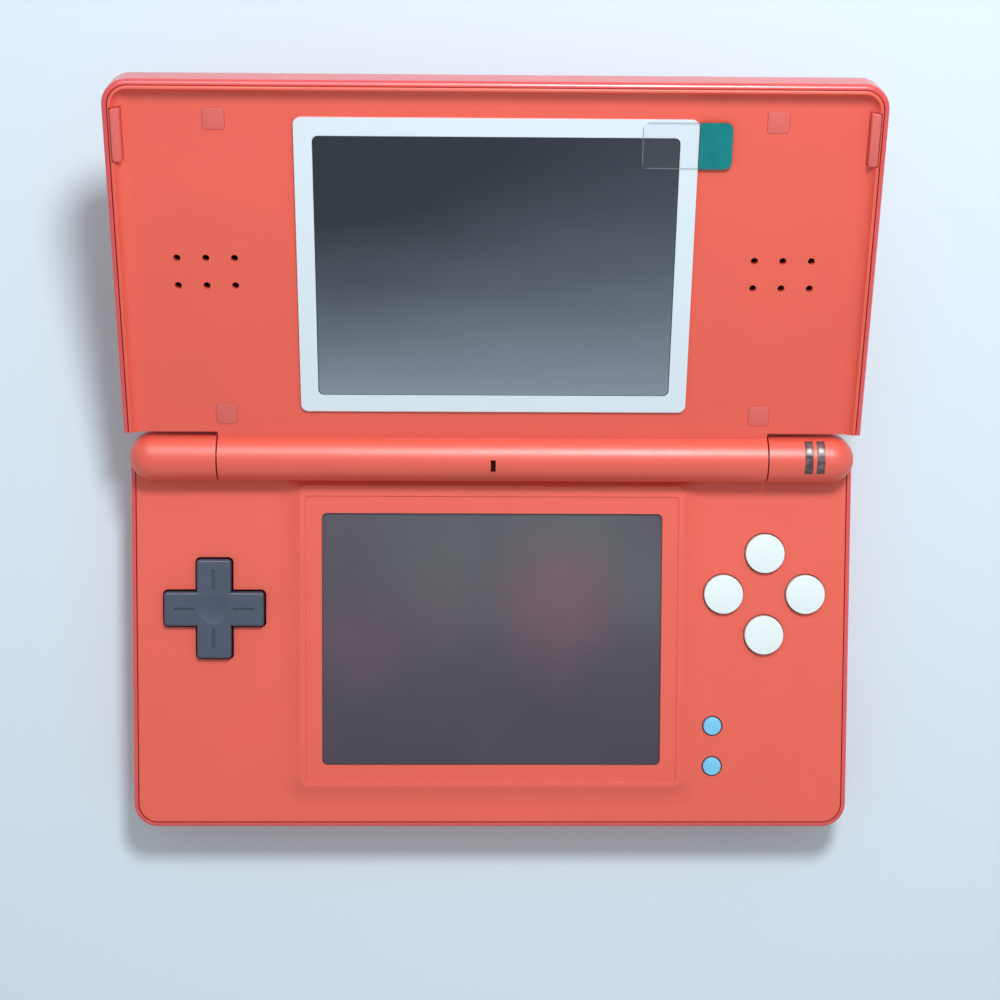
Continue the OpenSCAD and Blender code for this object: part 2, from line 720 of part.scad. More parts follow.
module battery_cover() {
    color([0.92, 0.37, 0.39]) on_base() difference() {
        union() {
            translate([battery_cover_mid.x, battery_cover_mid.y, 0])
                plate([battery_cover_size.x - 2 * joint_gap, battery_cover_size.y - 2 * joint_gap],
                    2 - joint_gap, foot_h, foot_h + cover_skin - 0.02);
            translate([battery_mid.x, battery_mid.y, 0])
                plate(battery_size, 0.5, foot_h + 0.1, floor_z);
        }
        translate([battery_screw.x, battery_screw.y, foot_h - over]) {
            cylinder(r = screw_head_r + seat_gap, h = over + screw_sink);
            cylinder(r = screw_shank_r + 0.15, h = 5);
        }
        // finger notch in the edge that is lifted first
        translate([battery_cover_mid.x + battery_cover_size.x / 4,
                battery_cover_mid.y - battery_cover_size.y / 2, foot_h - over])
            cylinder(r = notch_r, h = over + notch_t);
    }
}

module battery_cover_screw() {
    color([0.7, 0.7, 0.72]) on_base() translate([battery_screw.x, battery_screw.y, foot_h + 0.02])
        screw(screw_head_r, screw_sink - 0.04, screw_shank_r, battery_boss_h);
}

module bottom_screws() {
    color([0.7, 0.7, 0.72]) on_base() for (p = screw_points)
        translate([p.x, p.y, foot_h + screw_sink])
            screw(screw_head_r, screw_head_t, screw_shank_r, screw_shank_l);
}

module rubber_feet() {
    color([0.5, 0.2, 0.2]) on_base() for (p = foot_points) translate([p.x, p.y, 0]) {
        cylinder(r = foot_r - 0.25, h = 0.2);
        translate([0, 0, 0.2]) cylinder(r = foot_r, h = foot_h + foot_sink - 0.2);
    }
}

// ---------------------------------------------------------------- base inside

module touch_panel() {
    color([0.30, 0.29, 0.33, 0.8]) on_base() translate([0, screen_y, 0])
        plate([module_w, module_d], 0.4, touch_top - touch_t, touch_top);
}

module lower_lcd() {
    color([0.2, 0.2, 0.24]) on_base() translate([0, screen_y, 0])
        plate([module_w, module_d], 0.4, lower_lcd_z, lower_lcd_z + lower_lcd_t);
}

module main_board() {
    color([0.1, 0.4, 0.25]) on_base() difference() {
        union() {
            block([-half_w + board_side, bay_depth + 1.4, board_z],
                [half_w - board_side, hinge_reach - board_rear, board_top]);
            block([bay_w / 2 + 2, screw_y + boss_r + board_fit, board_z],
                [half_w - board_side, bay_depth + 2, board_top]);
        }
        for (p = screw_points) translate([p.x, p.y, board_z - over])
            cylinder(r = boss_r + board_fit, h = board_t + 2 * over);
        for (side = [0, 1]) mirror([side, 0, 0])
            block([pocket_start - pocket_wall - board_fit, pocket_front - pocket_wall - board_fit,
                board_z - over], [half_w, base_d, board_top + over]);
    }
}

module wireless_module() {
    color([0.75, 0.76, 0.78]) on_base() translate([wireless_mid.x, wireless_mid.y, board_z]) {
        mirror([0, 0, 1]) linear_extrude(wireless_board_t) square(wireless_size, center = true);
        translate([wireless_can_x, 0, -wireless_board_t]) mirror([0, 0, 1])
            linear_extrude(wireless_can.z) square([wireless_can.x, wireless_can.y], center = true);
    }
}

module battery() {
    color([0.25, 0.3, 0.4]) on_base() translate([battery_mid.x, battery_mid.y, 0])
        plate([battery_size.x, battery_size.y], 0.4, floor_z + 0.1, floor_z + 0.1 + battery_size.z);
}

module cartridge_connector() {
    color([0.15, 0.15, 0.16]) on_base() difference() {
        block([-bay_w / 2 - 0.8, bay_depth + joint_gap, floor_z],
            [bay_w / 2 + 0.8, bay_end, board_z - 0.1]);
        block([-bay_w / 2 + connector_wall, bay_depth - over, floor_z + 1.4],
            [bay_w / 2 - connector_wall, bay_depth + connector_d - connector_wall, board_z - 1.4]);
    }
}

module card_slot_connector() {
    color([0.72, 0.73, 0.75]) on_base() difference() {
        block([-card_w / 2 - 1, base_d - wall_t - card_depth - 1.5, card_low - card_shell],
            [card_w / 2 + 1, base_d - wall_t - 0.05, card_low + card_h + card_shell]);
        block([-card_w / 2, base_d - wall_t - card_depth, card_low],
            [card_w / 2, base_d, card_low + card_h]);
    }
}

module dome(r, low, high) {
    translate([0, 0, low]) cylinder(r1 = r, r2 = r * 0.8, h = high - low);
}

module face_membrane() {
    color([0.8, 0.8, 0.78]) on_base() translate([buttons_x, buttons_mid_y, 0]) {
        plate([2 * (buttons_ring + 3.4), 2 * (buttons_ring + 3.4)], 4, sheet_z, sheet_z + sheet_t);
        for (i = [0:3]) rotate(90 * i) translate([buttons_ring, 0, 0])
            dome(2.6, sheet_z + sheet_t - 0.05, dome_top);
    }
}

module small_membrane() {
    color([0.8, 0.8, 0.78]) on_base() translate([small_x, small_rear_y - small_pitch / 2, 0]) {
        plate([5, small_pitch + 5], 1.5, sheet_z, sheet_z + sheet_t);
        for (side = [-1, 1]) translate([0, side * small_pitch / 2, 0])
            dome(1.6, sheet_z + sheet_t - 0.05, dome_top);
    }
}

module dpad_membrane() {
    color([0.8, 0.8, 0.78]) on_base() translate([-dpad_x, dpad_mid_y, 0]) difference() {
        translate([0, 0, sheet_z]) cylinder(r = dpad_flange_r - 0.3, h = dpad_low - sheet_z - 0.03);
        translate([0, 0, sheet_z - over]) cylinder(r = 1.6, h = 4);
    }
}

module power_switch_body() {
    color([0.3, 0.3, 0.32]) on_base()
        translate([half_w - wall_t - slider_lap - switch_body.x, power_y + 0.5, board_z])
            block([0, -switch_body.y / 2, -switch_body.z], [switch_body.x, switch_body.y / 2, 0]);
}

// Slider that fills its slot and shows a rounded rib, its face looking along -Y
module slider_knob() {
    block([-slider_size.x / 2, slider_sink, -slider_size.y / 2],
        [slider_size.x / 2, wall_t + slider_lap - 0.1, slider_size.y / 2]);
    translate([0, slider_sink, 0]) rotate([90, 0, 90])
        linear_extrude(slider_size.x - 1, center = true)
            polygon([[0, -0.7], [-slider_ridge, -0.4], [-slider_ridge, 0.4], [0, 0.7]]);
}

module power_switch_knob() {
    color([0.9, 0.92, 0.93]) on_base() translate([half_w, power_y, slider_z])
        rotate([0, 0, 90]) slider_knob();
}

module volume_control_body() {
    color([0.3, 0.3, 0.32]) on_base()
        translate([volume_x, wall_t + slider_lap, board_z])
            block([-volume_body.x / 2, 0, -volume_body.z], [volume_body.x / 2, volume_body.y, 0]);
}

module volume_knob() {
    color([0.9, 0.92, 0.93]) on_base() translate([volume_x, 0, slider_z]) slider_knob();
}

module headphone_jack() {
    color([0.16, 0.16, 0.17]) on_base() difference() {
        union() {
            translate([jack_x, wall_t + seat_gap, jack_z])
                block([-jack_body.x / 2, 0, -jack_body.z / 2],
                    [jack_body.x / 2, jack_body.y, jack_body.z / 2]);
            translate([jack_x, wall_t + over, jack_z]) rotate([90, 0, 0])
                cylinder(r = jack_collar_r, h = wall_t + over - jack_face);
        }
        translate([jack_x, jack_face + jack_depth, jack_z]) rotate([90, 0, 0])
            cylinder(r = jack_r, h = jack_depth + over);
    }
}

module charging_socket() {
    color([0.16, 0.16, 0.17]) on_base() difference() {
        translate([socket_x, base_d - wall_t - joint_gap / 2, socket_z])
            block([-socket_body.x / 2, -socket_body.y, -socket_body.z / 2],
                [socket_body.x / 2, 0, socket_body.z / 2]);
        translate([socket_x, base_d - wall_t, socket_z])
            block([socket_wall - socket_body.x / 2, socket_wall - socket_body.y,
                0.7 - socket_body.z / 2],
                [socket_body.x / 2 - socket_wall, over, socket_body.z / 2 - 0.7]);
    }
}

// ---------------------------------------------------------------- hinge

module hinge_sleeve(side) {
    mirror([side, 0, 0]) translate([0, hinge_reach, axis_z]) difference() {
        bar_x(unit_r, base_barrel_start + 0.05, base_barrel_start + unit_l);
        bar_x(shaft_r + running_fit, base_barrel_start - over, base_barrel_start + unit_l - 1);
    }
}

module hinge_unit() {
    color([0.7, 0.71, 0.73]) on_base() hinge_sleeve(1);
}

module hinge_bushing() {
    color([0.85, 0.83, 0.78]) on_base() hinge_sleeve(0);
}

module hinge_shaft(side) {
    color([0.75, 0.76, 0.78]) on_lid() mirror([side, 0, 0])
        bar_x(shaft_r, base_barrel_start + unit_l - 1.3 - shaft_l, base_barrel_start + unit_l - 1.3);
}

module hinge_shaft_left() { hinge_shaft(1); }

module hinge_shaft_right() { hinge_shaft(0); }

// ---------------------------------------------------------------- controls

// Round push button: crowned top, collar under the cover and a stem
module push_button(r, collar_r, top, crown) {
    ball_r = (r * r + crown * crown) / (2 * crown);
    rotate_extrude() {
        intersection() {
            translate([0, flange_top - flange_t])
                edge_profile(r, 0, top - flange_top + flange_t, 0, button_edge);
            translate([0, top - ball_r]) circle(ball_r, $fn = 240);
        }
        translate([0, flange_top - flange_t]) square([collar_r, flange_t]);
        translate([0, stem_low]) square([1.4, flange_top - stem_low]);
    }
}

module face_button(i) {
    color([0.93, 0.95, 0.96]) on_base() translate([buttons_x, buttons_mid_y, 0]) rotate(90 * i)
        translate([buttons_ring, 0, 0]) push_button(button_r, button_flange_r, face_z + button_rise, 0.25);
}

module button_right() { face_button(0); }

module button_top() { face_button(1); }

module button_left() { face_button(2); }

module button_bottom() { face_button(3); }

module small_button(i) {
    color([0.50, 0.80, 0.93]) on_base() translate([small_x, small_rear_y - i * small_pitch, 0])
        push_button(small_r, small_flange_r, face_z + small_rise, 0.12);
}

module start_button() { small_button(0); }

module select_button() { small_button(1); }

module dpad() {
    top = face_z + dpad_rise;
    color([0.30, 0.34, 0.40]) on_base() translate([-dpad_x, dpad_mid_y, 0]) difference() {
        union() {
            // cross with softened upper edges
            for (size = [[dpad_span, dpad_arm], [dpad_arm, dpad_span]])
                soft_slab(size, dpad_corner, dpad_flange_top - 0.1, top, 0, dpad_soft);
            translate([0, 0, dpad_low]) cylinder(r = dpad_flange_r, h = dpad_flange_t);
            // pivot on the underside
            translate([0, 0, sheet_z + 0.1]) cylinder(r1 = 0.6, r2 = 1.2, h = dpad_low - sheet_z);
        }
        // engraved line on each arm
        for (i = [0:3]) rotate(90 * i)
            block([dpad_line[0], -0.25, top - 0.25], [dpad_line[1], 0.25, top + over]);
        // shallow dish in the middle
        translate([0, 0, top - dpad_dish + dpad_dish_r]) sphere(dpad_dish_r, $fn = 180);
    }
}

module shoulder_button(side) {
    color([0.90, 0.41, 0.40]) on_base() mirror([side, 0, 0]) difference() {
        intersection() {
            base_slab(0, foot_h, face_z, base_edge_r, rim_r);
            block([shoulder_start, shoulder_front, shoulder_low],
                [half_w + over, base_d + over, shoulder_high]);
            // rounded nose at the hinged end, so that it turns clear of the pocket
            union() {
                translate([shoulder_start + rear_reach, pin_y, 0]) cylinder(r = rear_reach, h = face_z);
                block([shoulder_start + rear_reach, shoulder_front, 0],
                    [half_w + over, base_d + over, face_z]);
            }
        }
        translate([pin_x, pin_y, 0]) cylinder(r = pin_r + running_fit, h = face_z);
        translate([spring_x, shoulder_front - over, spring_z]) rotate([-90, 0, 0])
            cylinder(r = spring_r + seat_gap, h = spring_depth + over);
    }
}

module shoulder_button_left() { shoulder_button(1); }

module shoulder_button_right() { shoulder_button(0); }

module shoulder_pins() {
    color([0.7, 0.71, 0.73]) on_base() for (side = [0, 1]) mirror([side, 0, 0])
        translate([pin_x, pin_y, pocket_low]) cylinder(r = pin_r, h = ledge_z - pocket_low - 0.05);
}

module shoulder_spring(side) {
    color([0.7, 0.71, 0.73]) on_base() mirror([side, 0, 0])
        translate([spring_x, pocket_front, spring_z]) rotate([-90, 0, 0])
            difference() {
                cylinder(r = spring_r, h = shoulder_space + spring_depth - 0.05);
                translate([0, 0, -over]) cylinder(r = spring_r - 0.35, h = 10);
            }
}

module shoulder_spring_left() { shoulder_spring(1); }

module shoulder_spring_right() { shoulder_spring(0); }

module stylus() {
    color([0.92, 0.94, 0.95]) on_base() translate([0, stylus_back, stylus_z]) difference() {
        bar_x(stylus_r, half_w - stylus_l + tip_l, half_w - 0.4);
        // thumb groove near the outer end
        translate([half_w - 3, -stylus_r, 0]) cylinder(r = 0.5, h = 4 * stylus_r, center = true);
    }
}

module stylus_tip() {
    color([0.85, 0.87, 0.88]) on_base() translate([half_w - stylus_l + tip_l, stylus_back, stylus_z])
        rotate([0, -90, 0]) rotate_extrude() {
            polygon([[0, 0], [stylus_r - 0.1, 0], [0.6, tip_l - 0.6], [0, tip_l - 0.6]]);
            intersection() {
                translate([0, tip_l - 0.6]) circle(0.6);
                translate([0, tip_l - 0.7]) square(0.7);
            }
        }
}

module cartridge_dust_cover() {
    color([0.90, 0.41, 0.35]) on_base() difference() {
        intersection() {
            base_slab(0, foot_h, face_z, base_edge_r, rim_r);
            block([-bay_w / 2 + seat_gap, -over, bay_low + seat_gap],
                [bay_w / 2 - seat_gap, bay_depth - 2, bay_low + bay_h - seat_gap]);
        }
        block([-bay_w / 2 + 1.4, wall_t, bay_low + 1.4],
            [bay_w / 2 - 1.4, bay_depth, bay_low + bay_h - 1.4]);
    }
}

// ---------------------------------------------------------------- lid

// Lower edge of the lid panel: straight beside the hinge, curled to the barrel between
module lid_end_shape() {
    big = 3 * hinge_reach;
    // beside the hinge
    difference() {
        block([-big, lid_start, -big], [big, big, big]);
        difference() {
            block([-big, lid_start - over, outer_h - over],
                [big, lid_start + lid_foot_r, outer_h + lid_foot_r]);
            translate([0, lid_start + lid_foot_r, outer_h + lid_foot_r])
                bar_x(lid_foot_r, -big - over, big + over);
        }
    }
    // between the fixed barrel ends
    translate([-lid_barrel_half, 0, 0]) rotate([90, 0, 90]) linear_extrude(2 * lid_barrel_half) {
        translate([web_y, web_h]) circle(web_r);
        translate([web_y - web_r, web_h]) square([web_r, 0 - web_h]);
        translate([web_y, outer_h]) square([web_r, -outer_h]);
    }
}

// Room over the lid's rim near the hinge, where the rim starts further back
module rim_end_cut() {
    rotate([90, 0, 90]) linear_extrude(2 * body_w, center = true)
        polygon([[0, dish_h], [lid_start, dish_h], [lid_start + rim_lag, rim_h],
            [lid_start + rim_lag, rim_h + over], [0, rim_h + over]]);
}

module lid_outer_cover() {
    color([0.92, 0.37, 0.39]) on_lid() difference() {
        union() {
            difference() {
                intersection() {
                    lid_slab(0, outer_h, rim_h - joint_gap, lid_edge_r, rim_r);
                    lid_end_shape();
                }
                rim_end_cut();
                intersection() {
                    lid_slab(wall_t, inner_h, rim_h + over, lid_inner_edge_r, 0);
                    block([-body_w, lid_start + 1.4, inner_h - over], [body_w, hinge_reach, rim_h + over]);
                }
                lid_slab(rim_r, panel_h, rim_h + over, 0, 0);
            }
            for (p = pad_points) translate([p.x, p.y, inner_h - 0.1])
                cylinder(r = lid_post_r, h = panel_h - lid_post_reach - inner_h);
        }
        bar_x(barrel_r + 0.05, -body_w, body_w);
        // screw holes and room for the inner cover's posts
        for (p = pad_points) translate([p.x, p.y, 0]) {
            translate([0, 0, inner_h + 0.2]) cylinder(r = screw_shank_r, h = 10);
            translate([0, 0, panel_h - lid_post_reach - joint_gap / 2])
                cylinder(r = lid_post_r + joint_gap, h = lid_post_reach + over);
        }
        // channel of the display's flat cable
        block([flex_x - flex_w / 2 - 1, 2, flex_h - 0.4],
            [flex_x + flex_w / 2 + 1, lid_start + 2, flex_h + 0.5]);
    }
}

module lid_inner_cover() {
    color([0.90, 0.41, 0.35]) on_lid() difference() {
        union() {
            // rim and dished panel
            difference() {
                intersection() {
                    lid_slab(cover_inset, panel_h, rim_h, 0, edge_soft);
                    block([-body_w, lid_start, panel_h], [body_w, hinge_reach, rim_h + over]);
                }
                lid_slab(cove_inset, dish_h, rim_h + 5, cove_r, 0);
                rim_end_cut();
            }
            block([-lid_barrel_half, 0, panel_h], [lid_barrel_half, lid_start + over, dish_h]);
            bar_x(barrel_r, -lid_barrel_half, lid_barrel_half);
            for (p = pad_points) translate([p.x, p.y, panel_h - lid_post_reach])
                cylinder(r = lid_post_r, h = lid_post_reach + 0.1);
        }
        // hollow of the barrel and the bores of its two end plugs
        bar_x(barrel_bore_r, -lid_barrel_half + plug_l, lid_barrel_half - plug_l);
        bar_x(shaft_r + 0.02, -body_w, body_w);
        // display opening
        translate([0, upper_screen_y, 0])
            plate([display_w + 2 * seat_gap, display_d + 2 * seat_gap], 0.5, panel_h - over, rim_h);
        // sound holes
        for (side = [-1, 1], i = [-1:1], j = [-0.5, 0.5])
            translate([side * speaker_x + i * hole_pitch, speaker_y + j * hole_pitch, panel_h - over])
                cylinder(r = hole_r, h = panel_t + 2 * over, $fn = 32);
        // microphone slot
        block([-mic_slot.x / 2, -mic_slot.y / 2, 0], [mic_slot.x / 2, mic_slot.y / 2, barrel_r + over]);
        // pad pockets, screw heads and screw holes
        for (p = pad_points) translate([p.x, p.y, 0]) {
            plate([pad_size, pad_size], 0.6, dish_h - pad_sink, rim_h);
            translate([0, 0, panel_h + 0.1]) cylinder(r = lid_screw_r + 0.15, h = rim_h);
            translate([0, 0, panel_h - 3]) cylinder(r = 0.95, h = rim_h + 3);
        }
        // seats of the side bumpers
        side_bumper_shapes(0.1);
        // cable slot in the barrel
        block([flex_x - flex_w / 2 - 0.4, 1, flex_h - 0.3],
            [flex_x + flex_w / 2 + 0.4, barrel_r + over, flex_h + 0.4]);
    }
}

module screen_frame() {
    color([0.86, 0.92, 0.95]) on_lid() translate([0, upper_screen_y, 0]) difference() {
        plate([frame_w, frame_d], 1.3, dish_h, frame_h);
        plate([window_w, window_h], window_r, dish_h - over, frame_h + over);
    }
}

module screen_window() {
    color([0.3, 0.33, 0.37, 0.6]) on_lid() translate([0, upper_screen_y, 0])
        plate([window_w - 0.1, window_h - 0.1], window_r - 0.05, dish_h, glass_h);
}

module upper_lcd() {
    color([0.2, 0.22, 0.25]) on_lid() translate([0, upper_screen_y, 0])
        plate([display_w, display_d], 0.4, dish_h - upper_lcd_t, dish_h);
}

module display_flex() {
    color([0.8, 0.55, 0.2]) on_lid()
        block([flex_x - flex_w / 2, 2.2, flex_h - 0.1],
            [flex_x + flex_w / 2, upper_screen_y - display_d / 2 - 0.05, flex_h + 0.1]);
}

module speaker(side) {
    color([0.2, 0.2, 0.21]) on_lid() translate([side * speaker_x, speaker_y, panel_h - 0.05])
        mirror([0, 0, 1]) rotate_extrude() difference() {
            union() {
                square([speaker_r, 1.4]);
                square([speaker_r * 0.6, 3]);
            }
            polygon([[0, -over], [speaker_r - 1, -over], [speaker_r - 1, 0.3], [2, 0.9], [0, 0.9]]);
        }
}

module speaker_left() { speaker(-1); }

module speaker_right() { speaker(1); }

module microphone() {
    color([0.75, 0.76, 0.78]) on_lid() translate([0, 0, 0.5]) cylinder(r = 1.9, h = 1.7);
}

module lid_screws() {
    color([0.7, 0.7, 0.72]) on_lid() for (p = pad_points) translate([p.x, p.y, panel_h + 0.7])
        mirror([0, 0, 1]) screw(lid_screw_r, 0.5, 0.7, 3.6);
}

module screw_cover_pads() {
    color([0.82, 0.44, 0.42]) on_lid() for (p = pad_points) translate([p.x, p.y, 0])
        plate([pad_size - 0.04, pad_size - 0.04], 0.58, dish_h - pad_sink, dish_h + pad_stand);
}

// Rubber strips that lie on the hollow side walls of the lid's dish
module side_bumper_shapes(grow) {
    for (side = [0, 1]) mirror([side, 0, 0])
        block([half_w - cover_inset - 0.4 - bumper_w - grow, bumper_from - grow, dish_h + 0.3 - grow],
            [half_w - cover_inset - 0.4 + grow, bumper_to + grow, rim_h + 0.05]);
}

module side_bumpers() {
    color([0.82, 0.44, 0.42]) on_lid() side_bumper_shapes(0);
}

// Clear film over the upper window
module protective_film() {
    color([0.8, 0.85, 0.88, 0.3]) on_lid() translate([0, upper_screen_y, 0])
        plate([window_w - 2 * film_edge, window_h - 2 * film_edge], window_r, glass_h, glass_h + film_t);
}

// Strip that lies on the film, crosses the frame and ends as a tab beside it
module film_pull_tab() {
    color([0.10, 0.50, 0.50]) on_lid() translate([(strip_from + strip_to) / 2, strip_y, 0])
        plate([strip_to - strip_from, strip_w], 1.2, glass_h + film_t, glass_h + 2 * film_t);
}

bottom_cover();
top_cover();
battery_cover();
battery_cover_screw();
bottom_screws();
rubber_feet();
touch_panel();
lower_lcd();
main_board();
wireless_module();
battery();
cartridge_connector();
card_slot_connector();
face_membrane();
small_membrane();
dpad_membrane();
power_switch_body();
volume_control_body();
headphone_jack();
charging_socket();
status_light_pipes();
hinge_unit();
hinge_bushing();
shoulder_pins();
shoulder_spring_left();
shoulder_spring_right();
dpad();
button_top();
button_right();
button_bottom();
button_left();
start_button();
select_button();
shoulder_button_left();
shoulder_button_right();
power_switch_knob();
volume_knob();
stylus();
stylus_tip();
cartridge_dust_cover();
lid_inner_cover();
lid_outer_cover();
screen_frame();
screen_window();
upper_lcd();
display_flex();
speaker_left();
speaker_right();
microphone();
lid_screws();
screw_cover_pads();
side_bumpers();
hinge_shaft_left();
hinge_shaft_right();
protective_film();
film_pull_tab();
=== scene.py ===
"""Looks of a clamshell handheld game console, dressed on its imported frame. Metres, +Z up."""
import json
import math

import bmesh
import bpy
from mathutils import Matrix, Vector


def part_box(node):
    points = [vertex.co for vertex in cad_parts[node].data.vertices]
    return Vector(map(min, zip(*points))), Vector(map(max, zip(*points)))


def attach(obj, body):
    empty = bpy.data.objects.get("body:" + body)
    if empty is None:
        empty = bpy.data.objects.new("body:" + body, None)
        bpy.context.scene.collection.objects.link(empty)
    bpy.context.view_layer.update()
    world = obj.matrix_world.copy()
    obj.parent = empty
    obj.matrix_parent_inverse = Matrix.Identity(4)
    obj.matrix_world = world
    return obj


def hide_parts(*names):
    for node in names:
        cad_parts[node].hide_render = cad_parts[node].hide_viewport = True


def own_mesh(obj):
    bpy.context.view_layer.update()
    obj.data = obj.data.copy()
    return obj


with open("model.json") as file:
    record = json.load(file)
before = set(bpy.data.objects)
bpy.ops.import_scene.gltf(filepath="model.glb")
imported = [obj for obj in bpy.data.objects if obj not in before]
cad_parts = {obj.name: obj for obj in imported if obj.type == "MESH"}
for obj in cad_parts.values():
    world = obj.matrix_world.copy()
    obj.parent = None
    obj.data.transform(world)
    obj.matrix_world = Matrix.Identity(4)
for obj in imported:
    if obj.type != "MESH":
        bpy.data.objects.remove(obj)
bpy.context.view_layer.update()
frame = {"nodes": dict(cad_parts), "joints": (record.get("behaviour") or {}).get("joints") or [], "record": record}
nodes = frame["nodes"]

MM = 0.001

# ---------------------------------------------------------------- view and light

CAMERA_PLACE = Vector((-6.32, 22.73, 382.55)) * MM
CAMERA_TURN = (-4.519, -1.172, 0.285)  # degrees about X, Y and Z
CAMERA_LENS = 72.53
CAMERA_NEAR = 10 * MM

SKY_FILL = 0.48  # share of the plain level that comes evenly from all sides
KEY_SHARE = 0.57  # share that the key light adds on a level face
KEY_FROM = Vector((0.14, 0.5, 0.86)).normalized()
KEY_DISTANCE = 0.44
KEY_SIZE = 0.095
PALE = (0.84, 0.925, 1.0)  # colour of the room and the window
WINDOW_FROM = Vector((0.0, 0.56, 0.83)).normalized()
WINDOW_DISTANCE = 0.7
WINDOW_SIZE = (0.8, 0.4)
WINDOW_GLOW = 4.8  # how bright gloss shows the window, where 1 is white
FLOOR_HALF = 3.0


def linear(red, green, blue):
    """Colour in the shader's units from one written 0 to 255, as a screen shows it."""
    parts = [c / 255 for c in (red, green, blue)]
    return tuple(c / 12.92 if c <= 0.04045 else ((c + 0.055) / 1.055) ** 2.4 for c in parts)


# ---------------------------------------------------------------- joints and CAD nodes


def joint_of(key, value):
    """The frame's joint whose key has this value."""
    return next(j for j in frame["joints"] if j[key] == value)


def limit_of(joint):
    """How far a joint goes from rest, in radians or metres."""
    if "range_m" in joint:
        return max(abs(v) for v in joint["range_m"])
    return math.radians(max(abs(v) for v in joint["range_deg"]))


lid_hinge = joint_of("name", "lid_hinge")
hinge = Vector(lid_hinge["pos_m"])
lid_rise = math.pi - limit_of(lid_hinge)  # of the open lid over the plane of the base
lid_axes = Matrix.Translation(hinge) @ Matrix.Rotation(lid_rise, 4, "X")


def islands(name, axes=None):
    """Boxes of the separate solids of a CAD node, in the given axes: pairs of corners."""
    cells = bmesh.new()
    cells.from_mesh(nodes[name].data)
    if axes:
        bmesh.ops.transform(cells, matrix=axes.inverted(), verts=cells.verts)
    bmesh.ops.remove_doubles(cells, verts=cells.verts, dist=0.001 * MM)
    seen, found = set(), []
    for start in cells.verts:
        if start in seen:
            continue
        group = [start]
        seen.add(start)
        for vert in group:
            for edge in vert.link_edges:
                other = edge.other_vert(vert)
                if other not in seen:
                    seen.add(other)
                    group.append(other)
        found.append(tuple(Vector(pick(v.co[i] for v in group) for i in range(3))
                           for pick in (min, max)))
    cells.free()
    return found


def size_of(box):
    return box[1] - box[0]


def middle_of(box):
    return (box[0] + box[1]) / 2


# ---------------------------------------------------------------- shader helpers


def put(tree, kind, **values):
    """New shader node. A value goes to the input of that name, or else to the property."""
    node = tree.nodes.new("ShaderNode" + kind)
    named = {}
    for socket in node.inputs:
        named.setdefault(socket.name.lower().replace(" ", "_"), socket)
    for key, value in values.items():
        if key not in named:
            setattr(node, key, value)
        elif isinstance(value, bpy.types.NodeSocket):
            tree.links.new(value, named[key])
        else:
            named[key].default_value = value
    return node


def math_node(tree, operation, first, second=0.0, third=0.0):
    node = tree.nodes.new("ShaderNodeMath")
    node.operation = operation
    for socket, value in zip(node.inputs, (first, second, third)):
        if isinstance(value, bpy.types.NodeSocket):
            tree.links.new(value, socket)
        else:
            socket.default_value = value
    return node.outputs[0]


def spread(tree, value, low, high, to_low=0.0, to_high=1.0):
    """Value from low to high mapped to another range, held at its ends."""
    node = put(tree, "MapRange", value=value, from_min=low, from_max=high,
               to_min=to_low, to_max=to_high)
    return node.outputs[0]


def blend_colours(tree, share, first, second):
    node = tree.nodes.new("ShaderNodeMix")
    node.data_type = "RGBA"
    for index, value in ((0, share), (6, first), (7, second)):
        if isinstance(value, bpy.types.NodeSocket):
            tree.links.new(value, node.inputs[index])
        elif index == 0:
            node.inputs[index].default_value = value
        else:
            node.inputs[index].default_value = (*value[:3], 1)
    return node.outputs[2]


def places(tree):
    """Coordinates that stay on the piece when it moves."""
    return put(tree, "TexCoord").outputs["Object"]


def noise(tree, size, detail, where=None):
    """Soft noise from 0 to 1 whose spots are about one size across."""
    return put(tree, "TexNoise", vector=where or places(tree), scale=1 / size,
               detail=detail).outputs[0]


def clouds(tree, size, detail, where, to_low=0.0, to_high=1.0, low=0.3, high=0.7):
    """Noise whose usual values, from low to high, are stretched over another range."""
    return spread(tree, noise(tree, size, detail, where), low, high, to_low, to_high)


def lid_places(tree):
    """Coordinates on the lid in its own axes: X along the hinge, Y away from it."""
    offset = put(tree, "VectorMath", operation="SUBTRACT")
    tree.links.new(places(tree), offset.inputs[0])
    offset.inputs[1].default_value = hinge
    turned = put(tree, "VectorRotate", rotation_type="X_AXIS", angle=-lid_rise,
                 vector=offset.outputs[0])
    return turned.outputs[0]


def axis_of(tree, index, where=None):
    return put(tree, "SeparateXYZ", vector=where or places(tree)).outputs[index]


def new_material(name, colour, roughness, **shader):
    """Material with one Principled shader. Returns it with its tree and that shader."""
    material = bpy.data.materials.new(name)
    material.use_nodes = True
    tree = material.node_tree
    tree.nodes.clear()
    surface = put(tree, "BsdfPrincipled", base_color=(*colour, 1), roughness=roughness, **shader)
    out = tree.nodes.new("ShaderNodeOutputMaterial")
    tree.links.new(surface.outputs[0], out.inputs[0])
    material.diffuse_color = (*colour, 1)
    return material, tree, surface


def feed(tree, surface, name, socket):
    tree.links.new(socket, surface.inputs[name])


